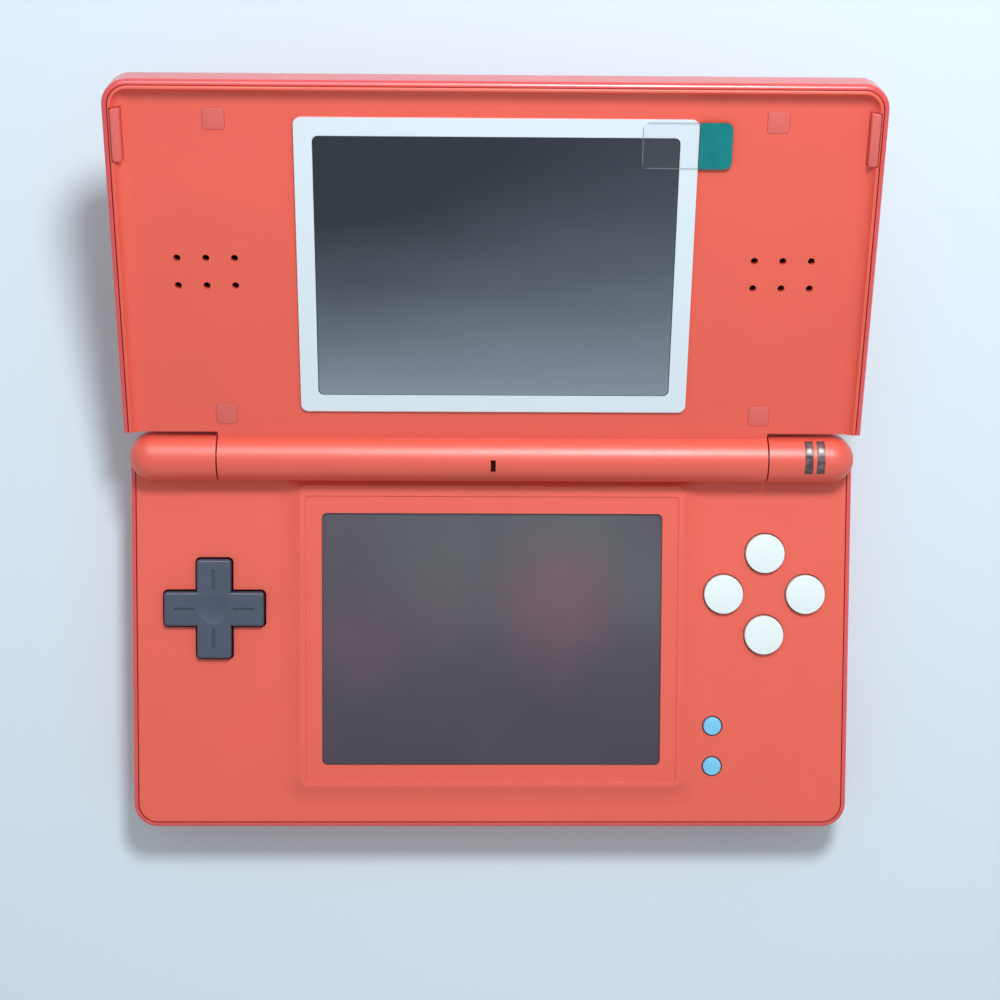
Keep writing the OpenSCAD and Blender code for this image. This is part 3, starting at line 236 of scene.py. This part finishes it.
def moulded(name, colour, roughness, grain=0.16 * MM, grain_depth=0.008 * MM, edge=0.12 * MM,
            change=0.05, rough_change=0.06, painted_shade=0.0, painted_shade_reach=1.6 * MM, **shader):
    """Moulded plastic: fine grain, slight changes of tone and gloss, softened edges, and
    shade painted into its colour in narrow lines and inner corners, up to the given share."""
    material, tree, surface = new_material(name, colour, roughness, **shader)
    where = places(tree)
    tone_size, gloss_size = 14 * MM, 3 * MM
    darker = tuple(c * (1 - change) for c in colour)
    lighter = tuple(min(1, c * (1 + change)) for c in colour)
    tone = blend_colours(tree, clouds(tree, tone_size, 3, where), darker, lighter)
    if painted_shade:
        starts_at, full_at = 0.95, 0.45  # shares of the surroundings that are open where the painted shade starts and where it is full
        # painted shade: where ambient occlusion finds the surroundings closed, the colour darkens towards its
        # square
        open_share = put(tree, "AmbientOcclusion", distance=painted_shade_reach, samples=3)
        painted_shade_share = spread(tree, open_share.outputs["AO"], starts_at, full_at, to_high=painted_shade)
        tone = blend_colours(tree, painted_shade_share, tone, tuple(c * c for c in colour))
    feed(tree, surface, "Base Color", tone)
    gloss = clouds(tree, gloss_size, 4, where, roughness - rough_change, roughness + rough_change)
    feed(tree, surface, "Roughness", gloss)
    soft = put(tree, "Bevel", radius=edge, samples=4).outputs[0]
    bump = put(tree, "Bump", height=noise(tree, grain, 1, where), distance=grain_depth,
               strength=1.0, normal=soft)
    feed(tree, surface, "Normal", bump.outputs[0])
    return material


# ---------------------------------------------------------------- materials

materials = {
    "matte_shell": moulded("matte_shell", linear(229, 97, 80), 0.38, change=0.02,
                           rough_change=0.02, painted_shade=0.3),
    "glossy_shell": moulded("glossy_shell", linear(226, 76, 76), 0.24, grain=2.5 * MM,
                            grain_depth=0.002 * MM, change=0.02, rough_change=0.02,
                            coat_weight=0.3, coat_roughness=0.12),
    "white_plastic": moulded("white_plastic", linear(228, 243, 245), 0.35, change=0.01),
    "blue_plastic": moulded("blue_plastic", linear(119, 203, 243), 0.3),
    "slate_plastic": moulded("slate_plastic", linear(61, 72, 92), 0.4, painted_shade=0.45,
                              painted_shade_reach=0.7 * MM),
    "white_frame": moulded("white_frame", linear(216, 233, 243), 0.4, change=0.01),
    "rubber": moulded("rubber", linear(214, 98, 92), 0.5),
    "silicone": moulded("silicone", linear(200, 202, 200), 0.45),
    "black_plastic": moulded("black_plastic", linear(34, 34, 38), 0.4),
    "board": moulded("board", linear(24, 92, 60), 0.35),
    "battery_wrap": moulded("battery_wrap", linear(60, 72, 96), 0.3),
    "flex_film": moulded("flex_film", linear(196, 128, 48), 0.3),
    "steel": moulded("steel", linear(190, 190, 194), 0.28, metallic=1.0),
    "display": moulded("display", linear(16, 18, 24), 0.25),
}


def screen_glass():
    """Dark glossy window over a display."""
    material, tree, surface = new_material("screen_glass", (0.004, 0.009, 0.018), 0.2)
    haze = noise(tree, 20 * MM, 2)
    feed(tree, surface, "Base Color", blend_colours(tree, haze, (0.003, 0.008, 0.017),
                                                    (0.006, 0.011, 0.02)))
    return material


def glow(tree, where, x, y, reach, wander_by=9 * MM):
    """Soft uneven spot from 1 in its middle to 0 at its reach."""
    wander = put(tree, "TexNoise", vector=where, scale=1 / wander_by, detail=3.0)
    moved = put(tree, "VectorMath", operation="MULTIPLY_ADD")
    tree.links.new(wander.outputs["Color"], moved.inputs[0])
    moved.inputs[1].default_value = (wander_by, wander_by, 0)
    tree.links.new(where, moved.inputs[2])
    flat = put(tree, "VectorMath", operation="MULTIPLY_ADD")
    tree.links.new(moved.outputs[0], flat.inputs[0])
    flat.inputs[1].default_value = (1, 1, 0)
    flat.inputs[2].default_value = (-wander_by / 2, -wander_by / 2, 0)
    away = put(tree, "VectorMath", operation="DISTANCE")
    tree.links.new(flat.outputs[0], away.inputs[0])
    away.inputs[1].default_value = (x, y, 0)
    node = put(tree, "MapRange", interpolation_type="SMOOTHSTEP", value=away.outputs["Value"],
               from_min=reach, from_max=0.0)
    return node.outputs[0]


# Reflections painted into the lower screen's colour: place off its middle and reach in millimetres,
# share and colour
PAINTED_REFLECTIONS = (
    (-6, 16, 22, 0.5, (80, 94, 92)),
    (16, 20, 18, 0.45, (88, 98, 94)),
    (-26, 0, 15, 0.45, (98, 70, 86)),
    (-10, 6, 14, 0.3, (98, 72, 84)),
    (29, 10, 14, 0.5, (84, 94, 98)),
    (12.5, 8, 17, 0.62, (118, 80, 92)),
    (11, -4, 12, 0.25, (98, 70, 82)),
    (10, -14, 14, 0.5, (56, 48, 60)),
)


def touch_glass():
    """Satin film over a switched-off display with painted reflections of soft green and pink shapes."""
    material, tree, surface = new_material("touch_glass", linear(70, 60, 74), 0.32)
    where = places(tree)
    low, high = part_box("touch_panel")
    middle = (low.y + high.y) / 2
    along = spread(tree, axis_of(tree, 1, where), low.y, high.y)
    # painted reflection of the room: lighter towards the hinge, in soft blotches
    base = blend_colours(tree, along, linear(56, 48, 64), linear(76, 74, 86))
    cloud = clouds(tree, 16 * MM, 2, where, to_high=0.35, low=0.4)
    base = blend_colours(tree, cloud, base, linear(70, 64, 74))
    for x, y, reach, share, tone in PAINTED_REFLECTIONS:
        spot = glow(tree, where, x * MM, middle + y * MM, reach * MM)
        base = blend_colours(tree, math_node(tree, "MULTIPLY", spot, share), base, linear(*tone))
    feed(tree, surface, "Base Color", base)
    return material


def film():
    """Clear film with a pale painted reflection that thickens towards the hinge, and a few specks."""
    material, tree, surface = new_material("film", linear(170, 188, 204), 0.22)
    thickest, steepness, wave_height = 0.53, 1.92, 0.26
    at_left, at_right = -0.05, 0.04
    where = lid_places(tree)
    low, high = islands("protective_film", lid_axes)[0]
    along = spread(tree, axis_of(tree, 1, where), high.y, low.y)
    broad = put(tree, "Mapping", vector=where, scale=(0.7, 2.0, 1.0)).outputs[0]
    waves = math_node(tree, "SUBTRACT", noise(tree, 30 * MM, 2, broad), 0.5)
    waves = math_node(tree, "MULTIPLY", waves, wave_height)
    between = math_node(tree, "MULTIPLY", math_node(tree, "SUBTRACT", 1.0, along), along)
    between = math_node(tree, "MULTIPLY", between, 4.0)
    along = math_node(tree, "MULTIPLY_ADD", between, waves, along)
    # painted reflection: pale film growing towards the hinge, bent by soft waves and leaning a little across
    painted_reflection = math_node(tree, "MULTIPLY", math_node(tree, "POWER", along, steepness), thickest)
    across = spread(tree, axis_of(tree, 0, where), low.x, high.x, at_left, at_right)
    across = math_node(tree, "MULTIPLY", across, math_node(tree, "SUBTRACT", 1.0, along))
    across = math_node(tree, "MULTIPLY", across, math_node(tree, "MULTIPLY_ADD", along, 3, 1))
    painted_reflection = math_node(tree, "ADD", painted_reflection, across)
    spots = put(tree, "TexVoronoi", vector=where, scale=1 / (7 * MM)).outputs["Distance"]
    speck = spread(tree, spots, 0.022, 0.012, to_high=0.3)
    feed(tree, surface, "Alpha", math_node(tree, "MAXIMUM", painted_reflection, speck))
    return material


def teal_film():
    """Pull strip: clear with a faint painted highlight along its edge over the screen, teal beside its frame."""
    material, tree, surface = new_material("teal_film", (0.005, 0.21, 0.22), 0.3,
                                           specular_ior_level=0.2)
    low, high = islands("film_pull_tab", lid_axes)[0]
    where = lid_places(tree)
    x = axis_of(tree, 0, where)
    off_middle = math_node(tree, "SUBTRACT", axis_of(tree, 1, where), (low.y + high.y) / 2)
    off_middle = math_node(tree, "ABSOLUTE", off_middle)
    inside = math_node(tree, "MINIMUM", math_node(tree, "SUBTRACT", x, low.x),
                       math_node(tree, "SUBTRACT", (high.y - low.y) / 2, off_middle))
    # painted highlight: a pale line along the strip's edge where it lies over the screen
    line, faint, strong = 0.1 * MM, 0.02, 0.32
    edge_highlight = spread(tree, inside, 2.2 * line, line, faint, strong)
    frame_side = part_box("screen_frame")[1].x
    teal = math_node(tree, "GREATER_THAN", x, frame_side + line)
    tone = blend_colours(tree, clouds(tree, 3 * MM, 3, where), (0.004, 0.19, 0.2),
                         (0.006, 0.23, 0.24))
    feed(tree, surface, "Base Color", blend_colours(tree, teal, linear(150, 158, 168), tone))
    feed(tree, surface, "Alpha", math_node(tree, "MAXIMUM", edge_highlight, teal))
    return material


def felt(name, colour):
    """Dull fibrous cloth."""
    material, tree, surface = new_material(name, colour, 0.95, specular_ior_level=0.1)
    fibre, nap = 0.2 * MM, 0.05 * MM
    fibres = noise(tree, fibre, 4)
    dark = tuple(c * 0.6 for c in colour)
    feed(tree, surface, "Base Color", blend_colours(tree, fibres, dark, colour))
    bump = put(tree, "Bump", height=fibres, distance=nap)
    feed(tree, surface, "Normal", bump.outputs[0])
    return material


def light_pipe():
    """Smoky clear plastic with a cloudy core behind a gloss skin, darker towards its ends, with a painted glint on
    each pipe.
    """
    material, tree, surface = new_material("light_pipe", linear(80, 62, 64), 0.14)
    where = places(tree)
    core = clouds(tree, 1.3 * MM, 2, where, low=0.4)
    tone = blend_colours(tree, core, linear(70, 48, 50), linear(136, 116, 118))
    low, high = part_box("status_light_pipes")
    ends = math_node(tree, "ABSOLUTE", spread(tree, axis_of(tree, 1, where), low.y, high.y,
                                              -1.0, 1.0))
    dark = spread(tree, ends, 0.6, 1.0, to_high=0.8)
    tone = blend_colours(tree, dark, tone, linear(44, 22, 24))
    # painted glint: a pale spot on each pipe near its rear end
    painted_glint_y = low.y + 0.72 * (high.y - low.y)
    for box in sorted(islands("status_light_pipes"), key=lambda box: box[0].x):
        painted_glint = glow(tree, where, middle_of(box).x, painted_glint_y, reach=0.75 * MM, wander_by=0.3 * MM)
        tone = blend_colours(tree, painted_glint, tone, linear(226, 216, 216))
    feed(tree, surface, "Base Color", tone)
    return material


materials["light_pipe"] = light_pipe()
materials["screen_glass"] = screen_glass()
materials["touch_glass"] = touch_glass()
materials["film"] = film()
materials["teal_film"] = teal_film()
dark_felt = felt("dark_felt", linear(52, 22, 24))
gold = moulded("gold", linear(214, 176, 96), 0.25, metallic=1.0)


def dress_cad_nodes():
    """Gives each CAD node the material of its slot, and the speakers a cloth face."""
    for node in nodes.values():
        for slot in node.material_slots:
            slot.material = materials[slot.material.name.split(".")[0]]
    for name in ("speaker_left", "speaker_right"):
        nodes[name].material_slots[0].material = dark_felt


def thicken_films():
    """A hair more thickness, so that no film shares a plane with what lies under it."""
    hair = 0.012 * MM
    for name, extra in (("protective_film", hair), ("film_pull_tab", 2 * hair)):
        swell = nodes[name].modifiers.new("swell", "DISPLACE")
        swell.strength = extra
        swell.mid_level = 0.0


# ---------------------------------------------------------------- stage


def add_camera():
    data = bpy.data.cameras.new("camera")
    data.lens = CAMERA_LENS
    data.clip_start = CAMERA_NEAR
    camera = bpy.data.objects.new("camera", data)
    camera.location = CAMERA_PLACE
    camera.rotation_euler = [math.radians(a) for a in CAMERA_TURN]
    bpy.context.scene.collection.objects.link(camera)
    bpy.context.scene.camera = camera


def add_key_light():
    data = bpy.data.lights.new("key", "AREA")
    data.shape = "DISK"
    data.size = KEY_SIZE
    data.energy = KEY_SHARE * (math.pi * KEY_DISTANCE) ** 2 / KEY_FROM.z
    light = bpy.data.objects.new("key", data)
    light.location = KEY_FROM * KEY_DISTANCE
    light.rotation_euler = KEY_FROM.to_track_quat("Z", "Y").to_euler()
    bpy.context.scene.collection.objects.link(light)


def add_window():
    """Broad bright pane over the rear that only gloss sees."""
    data = bpy.data.lights.new("window", "AREA")
    data.shape = "RECTANGLE"
    data.size, data.size_y = WINDOW_SIZE
    data.energy = WINDOW_GLOW * math.pi * data.size * data.size_y
    data.color = PALE
    light = bpy.data.objects.new("window", data)
    light.location = WINDOW_FROM * WINDOW_DISTANCE
    light.rotation_euler = WINDOW_FROM.to_track_quat("Z", "Y").to_euler()
    light.visible_diffuse = False
    bpy.context.scene.collection.objects.link(light)


def add_sky():
    """Even fill on the object; the camera, gloss and glass see a pale room instead."""
    world = bpy.data.worlds.new("sky")
    bpy.context.scene.world = world
    world.use_nodes = True
    tree = world.node_tree
    tree.nodes.clear()
    path = put(tree, "LightPath")
    seen = math_node(tree, "ADD", path.outputs["Is Camera Ray"], path.outputs["Is Glossy Ray"])
    seen = math_node(tree, "ADD", seen, path.outputs["Is Transmission Ray"])
    seen = math_node(tree, "MINIMUM", seen, 1.0)
    fill = put(tree, "Background", color=(1, 1, 1, 1), strength=SKY_FILL)
    room = put(tree, "Background", color=(*PALE, 1), strength=1.0)
    both = put(tree, "MixShader", fac=seen)
    tree.links.new(fill.outputs[0], both.inputs[1])
    tree.links.new(room.outputs[0], both.inputs[2])
    out = tree.nodes.new("ShaderNodeOutputWorld")
    tree.links.new(both.outputs[0], out.inputs[0])


def add_floor():
    mesh = bpy.data.meshes.new("floor")
    floor = bpy.data.objects.new("floor", mesh)
    cells = bmesh.new()
    bmesh.ops.create_grid(cells, x_segments=1, y_segments=1, size=FLOOR_HALF)
    cells.to_mesh(mesh)
    cells.free()
    pale = new_material("floor", linear(217, 236, 247), 0.8, specular_ior_level=0.1)[0]
    mesh.materials.append(pale)
    bpy.context.scene.collection.objects.link(floor)


# ---------------------------------------------------------------- mesh helpers

FULL_TURN = 2 * math.pi
QUARTER_TURN = math.pi / 2
SHARP_TURN = math.radians(40)  # edges that turn more than this stay sharp


def quarter(steps):
    """Angles of a quarter turn in equal steps, both ends included."""
    return [QUARTER_TURN * step / steps for step in range(steps + 1)]


def ring(width, depth, radius, height, steps=5):
    """Points of a rounded rectangle around the origin at a height."""
    points = []
    for turn in range(4):
        mid_x = (width / 2 - radius) * (1 if turn in (0, 3) else -1)
        mid_y = (depth / 2 - radius) * (1 if turn < 2 else -1)
        for step in range(steps + 1):
            angle = QUARTER_TURN * (turn + step / steps)
            points.append(Vector((mid_x + radius * math.cos(angle),
                                  mid_y + radius * math.sin(angle), height)))
    return points


def circle(radius, height, steps=40):
    """Points of a circle around the origin at a height."""
    return [Vector((radius * math.cos(FULL_TURN * i / steps),
                    radius * math.sin(FULL_TURN * i / steps), height)) for i in range(steps)]


def loft(cells, rings, capped=True):
    """Skin over rings of the same number of points, upwards. Returns their vertices."""
    rows = [[cells.verts.new(p) for p in points] for points in rings]
    for low, high in zip(rows, rows[1:]):
        for i in range(len(low)):
            j = (i + 1) % len(low)
            cells.faces.new((low[i], low[j], high[j], high[i]))
    if capped:
        cells.faces.new(reversed(rows[0]))
        cells.faces.new(rows[-1])
    return rows


def soft_plate(cells, width, depth, low, high, radius, edge):
    """Upright plate with rounded corners and a rounded upper edge."""
    rings = [ring(width, depth, radius, low)]
    for angle in quarter(4):
        inset = edge * (1 - math.cos(angle))
        rings.append(ring(width - 2 * inset, depth - 2 * inset, radius - inset,
                          high - edge * (1 - math.sin(angle))))
    loft(cells, rings)


def tube(cells, inner, outer, low, high, edge):
    """Ring with a rounded upper edge around its bore."""
    rings = [circle(inner, low), circle(outer, low), circle(outer, high)]
    for angle in quarter(4):
        rings.append(circle(inner + edge * (1 - math.sin(angle)),
                            high - edge * (1 - math.cos(angle))))
    rows = loft(cells, rings, capped=False)
    for i in range(len(rows[0])):
        j = (i + 1) % len(rows[0])
        cells.faces.new((rows[-1][i], rows[-1][j], rows[0][j], rows[0][i]))


def piece(name, cells, material, body, axes=None, stands_for=()):
    """New piece of the object from a mesh drawn in its own axes."""
    mesh = bpy.data.meshes.new(name)
    bmesh.ops.recalc_face_normals(cells, faces=cells.faces)
    cells.to_mesh(mesh)
    cells.free()
    if axes:
        mesh.transform(axes)
    mesh.shade_smooth()
    mesh.set_sharp_from_angle(angle=SHARP_TURN)
    mesh.materials.append(material)
    made = bpy.data.objects.new(name, mesh)
    bpy.context.scene.collection.objects.link(made)
    if stands_for:
        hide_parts(*stands_for)
    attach(made, body)
    return made


def copies(cells, places_of, draw):
    """Draws one shape at each matrix and joins them in the same cells."""
    for matrix in places_of:
        part = bmesh.new()
        draw(part)
        bmesh.ops.transform(part, matrix=matrix, verts=part.verts)
        mesh = bpy.data.meshes.new("part")
        part.to_mesh(mesh)
        part.free()
        cells.from_mesh(mesh)
        bpy.data.meshes.remove(mesh)


# ---------------------------------------------------------------- pieces

SKIN = 0.03 * MM  # thickness of the silicone sheets under the keys


def add_lid_rubber(node, name, radius, edge):
    """Soft piece with rounded corners and edges in each of a node's seats in the lid."""
    boxes = islands(node, lid_axes)
    size = size_of(boxes[0])
    cells = bmesh.new()
    copies(cells, [Matrix.Translation(middle_of(b)) for b in boxes],
           lambda part: soft_plate(part, size.x, size.y, -size.z / 2, size.z / 2, radius, edge))
    piece(name, cells, materials["rubber"], "lid", lid_axes, (node,))


def add_feet():
    """Round soft feet with a rolled edge that stand on the ground."""
    boxes = islands("rubber_feet")
    size = size_of(boxes[0])
    radius, roll, points = size.x / 2, 0.3 * MM, 64

    def foot(part):
        rings = [circle(radius - roll * (1 - math.sin(angle)), roll * (1 - math.cos(angle)),
                        points) for angle in quarter(5)]
        loft(part, [*rings, circle(radius, size.z, points)])

    cells = bmesh.new()
    copies(cells, [Matrix.Translation((*middle_of(b).xy, b[0].z)) for b in boxes], foot)
    piece("soft_feet", cells, materials["rubber"], "base", None, ("rubber_feet",))


def cross(reach, arm, height, steps):
    """Points of a plus shape at the same turns as a circle's."""
    points = []
    for step in range(steps):
        turn = FULL_TURN * step / steps
        wide = max(abs(math.cos(turn)), abs(math.sin(turn)))
        narrow = max(min(abs(math.cos(turn)), abs(math.sin(turn))), 1e-6)
        radius = min(reach / wide, arm / narrow)
        points.append(Vector((radius * math.cos(turn), radius * math.sin(turn), height)))
    return points


def screw(cells, head_radius, head_depth, length):
    """Cross-head screw: its face at height 0 looking up, its thread below."""
    points, pitch, edge = 48, 0.5 * MM, 0.15 * MM
    crest = 0.75 * MM
    root = 0.82 * crest
    tip, tip_length = 0.5 * crest, 0.3 * MM
    rings = [circle(tip, -length, points)]
    height = tip_length - length
    while height < -head_depth - pitch:
        rings.append(circle(crest, height, points))
        rings.append(circle(root, height + pitch / 2, points))
        height += pitch
    rings += [circle(root, -head_depth, points), circle(head_radius, -head_depth, points),
              circle(head_radius, -edge, points), circle(head_radius - edge, 0, points),
              cross(0.62 * head_radius, 0.17 * head_radius, 0, points),
              cross(0.5 * head_radius, 0.1 * head_radius, -0.75 * head_depth, points)]
    loft(cells, rings)


def add_screws():
    """Cross-head screws for the casing, the battery cover and the lid."""
    for node, name, axes, body, head_depth in (
            ("bottom_screws", "casing_screws", Matrix(), "base", 0.6 * MM),
            ("battery_cover_screw", "cover_screw", Matrix(), "base", 0.36 * MM),
            ("lid_screws", "inner_screws", lid_axes, "lid", 0.5 * MM)):
        boxes = islands(node, axes)
        size = size_of(boxes[0])
        looks_up = body == "lid"
        turned = Matrix() if looks_up else Matrix.Rotation(math.pi, 4, "X")
        spots = []
        for low, high in boxes:
            middle = middle_of((low, high))
            face = high.z if looks_up else low.z
            spots.append(Matrix.Translation((middle.x, middle.y, face)) @ turned)
        cells = bmesh.new()
        copies(cells, spots, lambda part: screw(part, size.x / 2, head_depth, size.z))
        piece(name, cells, materials["steel"], body, axes, (node,))


def helix(cells, radius, wire, height, turns):
    """Upright coil spring of round wire whose end turns lie flat."""
    turn_steps, round_steps = 28, 10
    end_rise = 2.1 * wire
    rise = (height - 2 * wire - 2 * end_rise) / (turns - 2)
    rings = []
    for step in range(turns * turn_steps + 1):
        turn = step / turn_steps
        level = wire + end_rise * min(turn, 1) + rise * min(max(turn - 1, 0), turns - 2)
        level += end_rise * max(turn - turns + 1, 0)
        out = Vector((math.cos(FULL_TURN * turn), math.sin(FULL_TURN * turn), 0))
        points = []
        for part in range(round_steps):
            around = FULL_TURN * part / round_steps
            points.append(out * (radius + wire * math.cos(around))
                          + Vector((0, 0, level + wire * math.sin(around))))
        rings.append(points)
    loft(cells, rings)


def add_springs():
    """Coil springs behind both shoulder buttons."""
    wire, clear, turns = 0.16 * MM, 0.3 * MM, 7
    for side in ("left", "right"):
        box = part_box("shoulder_spring_" + side)
        length, radius = size_of(box).y, size_of(box).x / 2
        middle = middle_of(box)
        foot = (middle.x, box[0].y, middle.z)
        cells = bmesh.new()
        helix(cells, radius - wire - clear, wire, length, turns)
        axes = Matrix.Translation(foot) @ Matrix.Rotation(-QUARTER_TURN, 4, "X")
        spring = piece("coil_spring_" + side, cells, materials["steel"], "base", axes,
                       ("shoulder_spring_" + side,))
        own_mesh(spring)


def dome(name, x, y, radius, low, high):
    """Silicone dome on a skirt with a contact pin on top."""
    height = high - low
    skirt, wall = 0.1, 0.6  # shares of the height
    rings = [circle(radius, low), circle(radius, low + skirt * height)]
    for step in range(6):
        share = step / 5
        bend = 0.5 - 0.5 * math.cos(math.pi * share)
        rings.append(circle(radius * (0.95 - 0.35 * share), low + height * (skirt + wall * bend)))
    rings += [circle(0.55 * radius, low + 0.75 * height), circle(0.5 * radius, high)]
    cells = bmesh.new()
    loft(cells, rings)
    made = piece(name, cells, materials["silicone"], "base",
                 Matrix.Translation((x, y, 0)))
    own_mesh(made)


def add_membrane(node, name, buttons, corner, dome_radius):
    """Silicone sheet on the board with one dome under each button."""
    low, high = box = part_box(node)
    size, middle = size_of(box), middle_of(box)
    cells = bmesh.new()
    soft_plate(cells, size.x, size.y, low.z, low.z + SKIN, radius=corner, edge=SKIN / 3)
    piece(name, cells, materials["silicone"], "base",
          Matrix.Translation((middle.x, middle.y, 0)), (node,))
    for button in buttons:
        spot = middle_of(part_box(button))
        dome("dome_" + button, spot.x, spot.y, dome_radius, low.z + SKIN, high.z - SKIN)


def add_dpad_membrane():
    """Round silicone sheet on the board with one dome under each arm of the D-pad."""
    low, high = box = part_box("dpad_membrane")
    middle = middle_of(box)
    radius, points = 0.9 * size_of(box).x / 2, 64
    cells = bmesh.new()
    loft(cells, [circle(radius, low.z, points), circle(radius, low.z + SKIN, points)])
    piece("dpad_sheet", cells, materials["silicone"], "base",
          Matrix.Translation((middle.x, middle.y, 0)), ("dpad_membrane",))
    reach, dome_radius, clear = 0.7 * radius, 2.2 * MM, 0.12 * MM
    for name, x, y, joint in (("rear", 0, 1, "dpad_tilt_front_back"),
                              ("front", 0, -1, "dpad_tilt_front_back"),
                              ("left", -1, 0, "dpad_tilt_left_right"),
                              ("right", 1, 0, "dpad_tilt_left_right")):
        dome("dome_dpad_" + name, middle.x + x * reach, middle.y + y * reach, dome_radius,
             low.z + SKIN, high.z - clear)


def add_card_contacts():
    """Gold leaf contacts on the floor of the card slot, at its inner end."""
    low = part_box("card_slot_connector")[0]
    count, pitch = 17, 1.7 * MM
    shell, clear, from_end = 0.3 * MM, 0.01 * MM, 5.1 * MM
    width, length, thickness = 0.8 * MM, 7 * MM, 0.22 * MM
    cells = bmesh.new()
    copies(cells, [Matrix.Translation(((i - (count - 1) / 2) * pitch, low.y + from_end,
                                       low.z + shell + clear)) for i in range(count)],
           lambda part: soft_plate(part, width, length, 0, thickness, radius=0.3 * MM,
                                   edge=0.1 * MM))
    piece("card_contacts", cells, gold, "base")


def add_charging_contacts():
    """Gold pins on a tongue in the charging socket."""
    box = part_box("charging_socket")
    middle, mouth = middle_of(box), box[1].y
    width, length = 5.2 * MM, 0.6 * size_of(box).y
    underside, top = middle.z - 0.35 * MM, middle.z + 0.3 * MM
    set_back = 1.2 * MM  # from the socket's mouth
    cells = bmesh.new()
    soft_plate(cells, width, length, underside, top, radius=0.3 * MM, edge=0.15 * MM)
    bmesh.ops.translate(cells, vec=(middle.x, mouth - set_back - length / 2, 0),
                        verts=cells.verts)
    piece("charging_tongue", cells, materials["black_plastic"], "base")
    count, pitch, pin_width, pin_height = 5, 1.0 * MM, 0.5 * MM, 0.1 * MM
    pin_set_back, clear = set_back + 0.3 * MM, 0.01 * MM
    cells = bmesh.new()
    copies(cells, [Matrix.Translation((middle.x + (i - (count - 1) / 2) * pitch,
                                       mouth - pin_set_back - length / 2, top + clear))
                   for i in range(count)],
           lambda part: soft_plate(part, pin_width, 0.85 * length, 0, pin_height,
                                   radius=0.1 * MM, edge=0.05 * MM))
    piece("charging_contacts", cells, gold, "base")


def add_microphone_felt():
    """Felt between the microphone and its slot in the hinge barrel."""
    width, length = 0.86 * MM, 2.36 * MM
    underside = islands("microphone", lid_axes)[0][1].z + 0.1 * MM
    top = islands("lid_inner_cover", lid_axes)[0][1].z - 0.7 * MM
    cells = bmesh.new()
    soft_plate(cells, width, length, underside, top, radius=0.1 * MM, edge=0.05 * MM)
    piece("microphone_felt", cells, dark_felt, "lid", lid_axes)


def add_jack_lining():
    """Bright metal ring around the mouth of the headphone jack."""
    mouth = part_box("headphone_jack")[0].y
    mount = next(m for m in frame["record"]["mounts"] if m["name"] == "headphone_jack")
    axes = (Matrix.Translation((mount["pos_m"][0], mouth, mount["pos_m"][2]))
            @ Matrix.Rotation(QUARTER_TURN, 4, "X"))
    bore, outside, depth, proud, edge = 1.8 * MM, 2.15 * MM, 0.6 * MM, 0.05 * MM, 0.12 * MM
    cells = bmesh.new()
    tube(cells, bore, outside, -depth, proud, edge)
    piece("headphone_lining", cells, materials["steel"], "base", axes)


# ---------------------------------------------------------------- build

dress_cad_nodes()
thicken_films()
add_lid_rubber("side_bumpers", "side_strips", radius=0.35 * MM, edge=0.14 * MM)
add_lid_rubber("screw_cover_pads", "screw_caps", radius=0.55 * MM, edge=0.09 * MM)
add_feet()
add_screws()
add_springs()
add_membrane("face_membrane", "face_sheet",
             ("button_top", "button_right", "button_bottom", "button_left"),
             corner=4 * MM, dome_radius=2.6 * MM)
add_membrane("small_membrane", "small_sheet", ("start_button", "select_button"),
             corner=1.5 * MM, dome_radius=1.6 * MM)
add_dpad_membrane()
add_card_contacts()
add_charging_contacts()
add_microphone_felt()
add_jack_lining()
add_camera()
add_key_light()
add_window()
add_sky()
add_floor()
bpy.context.scene.view_settings.view_transform = "Standard"
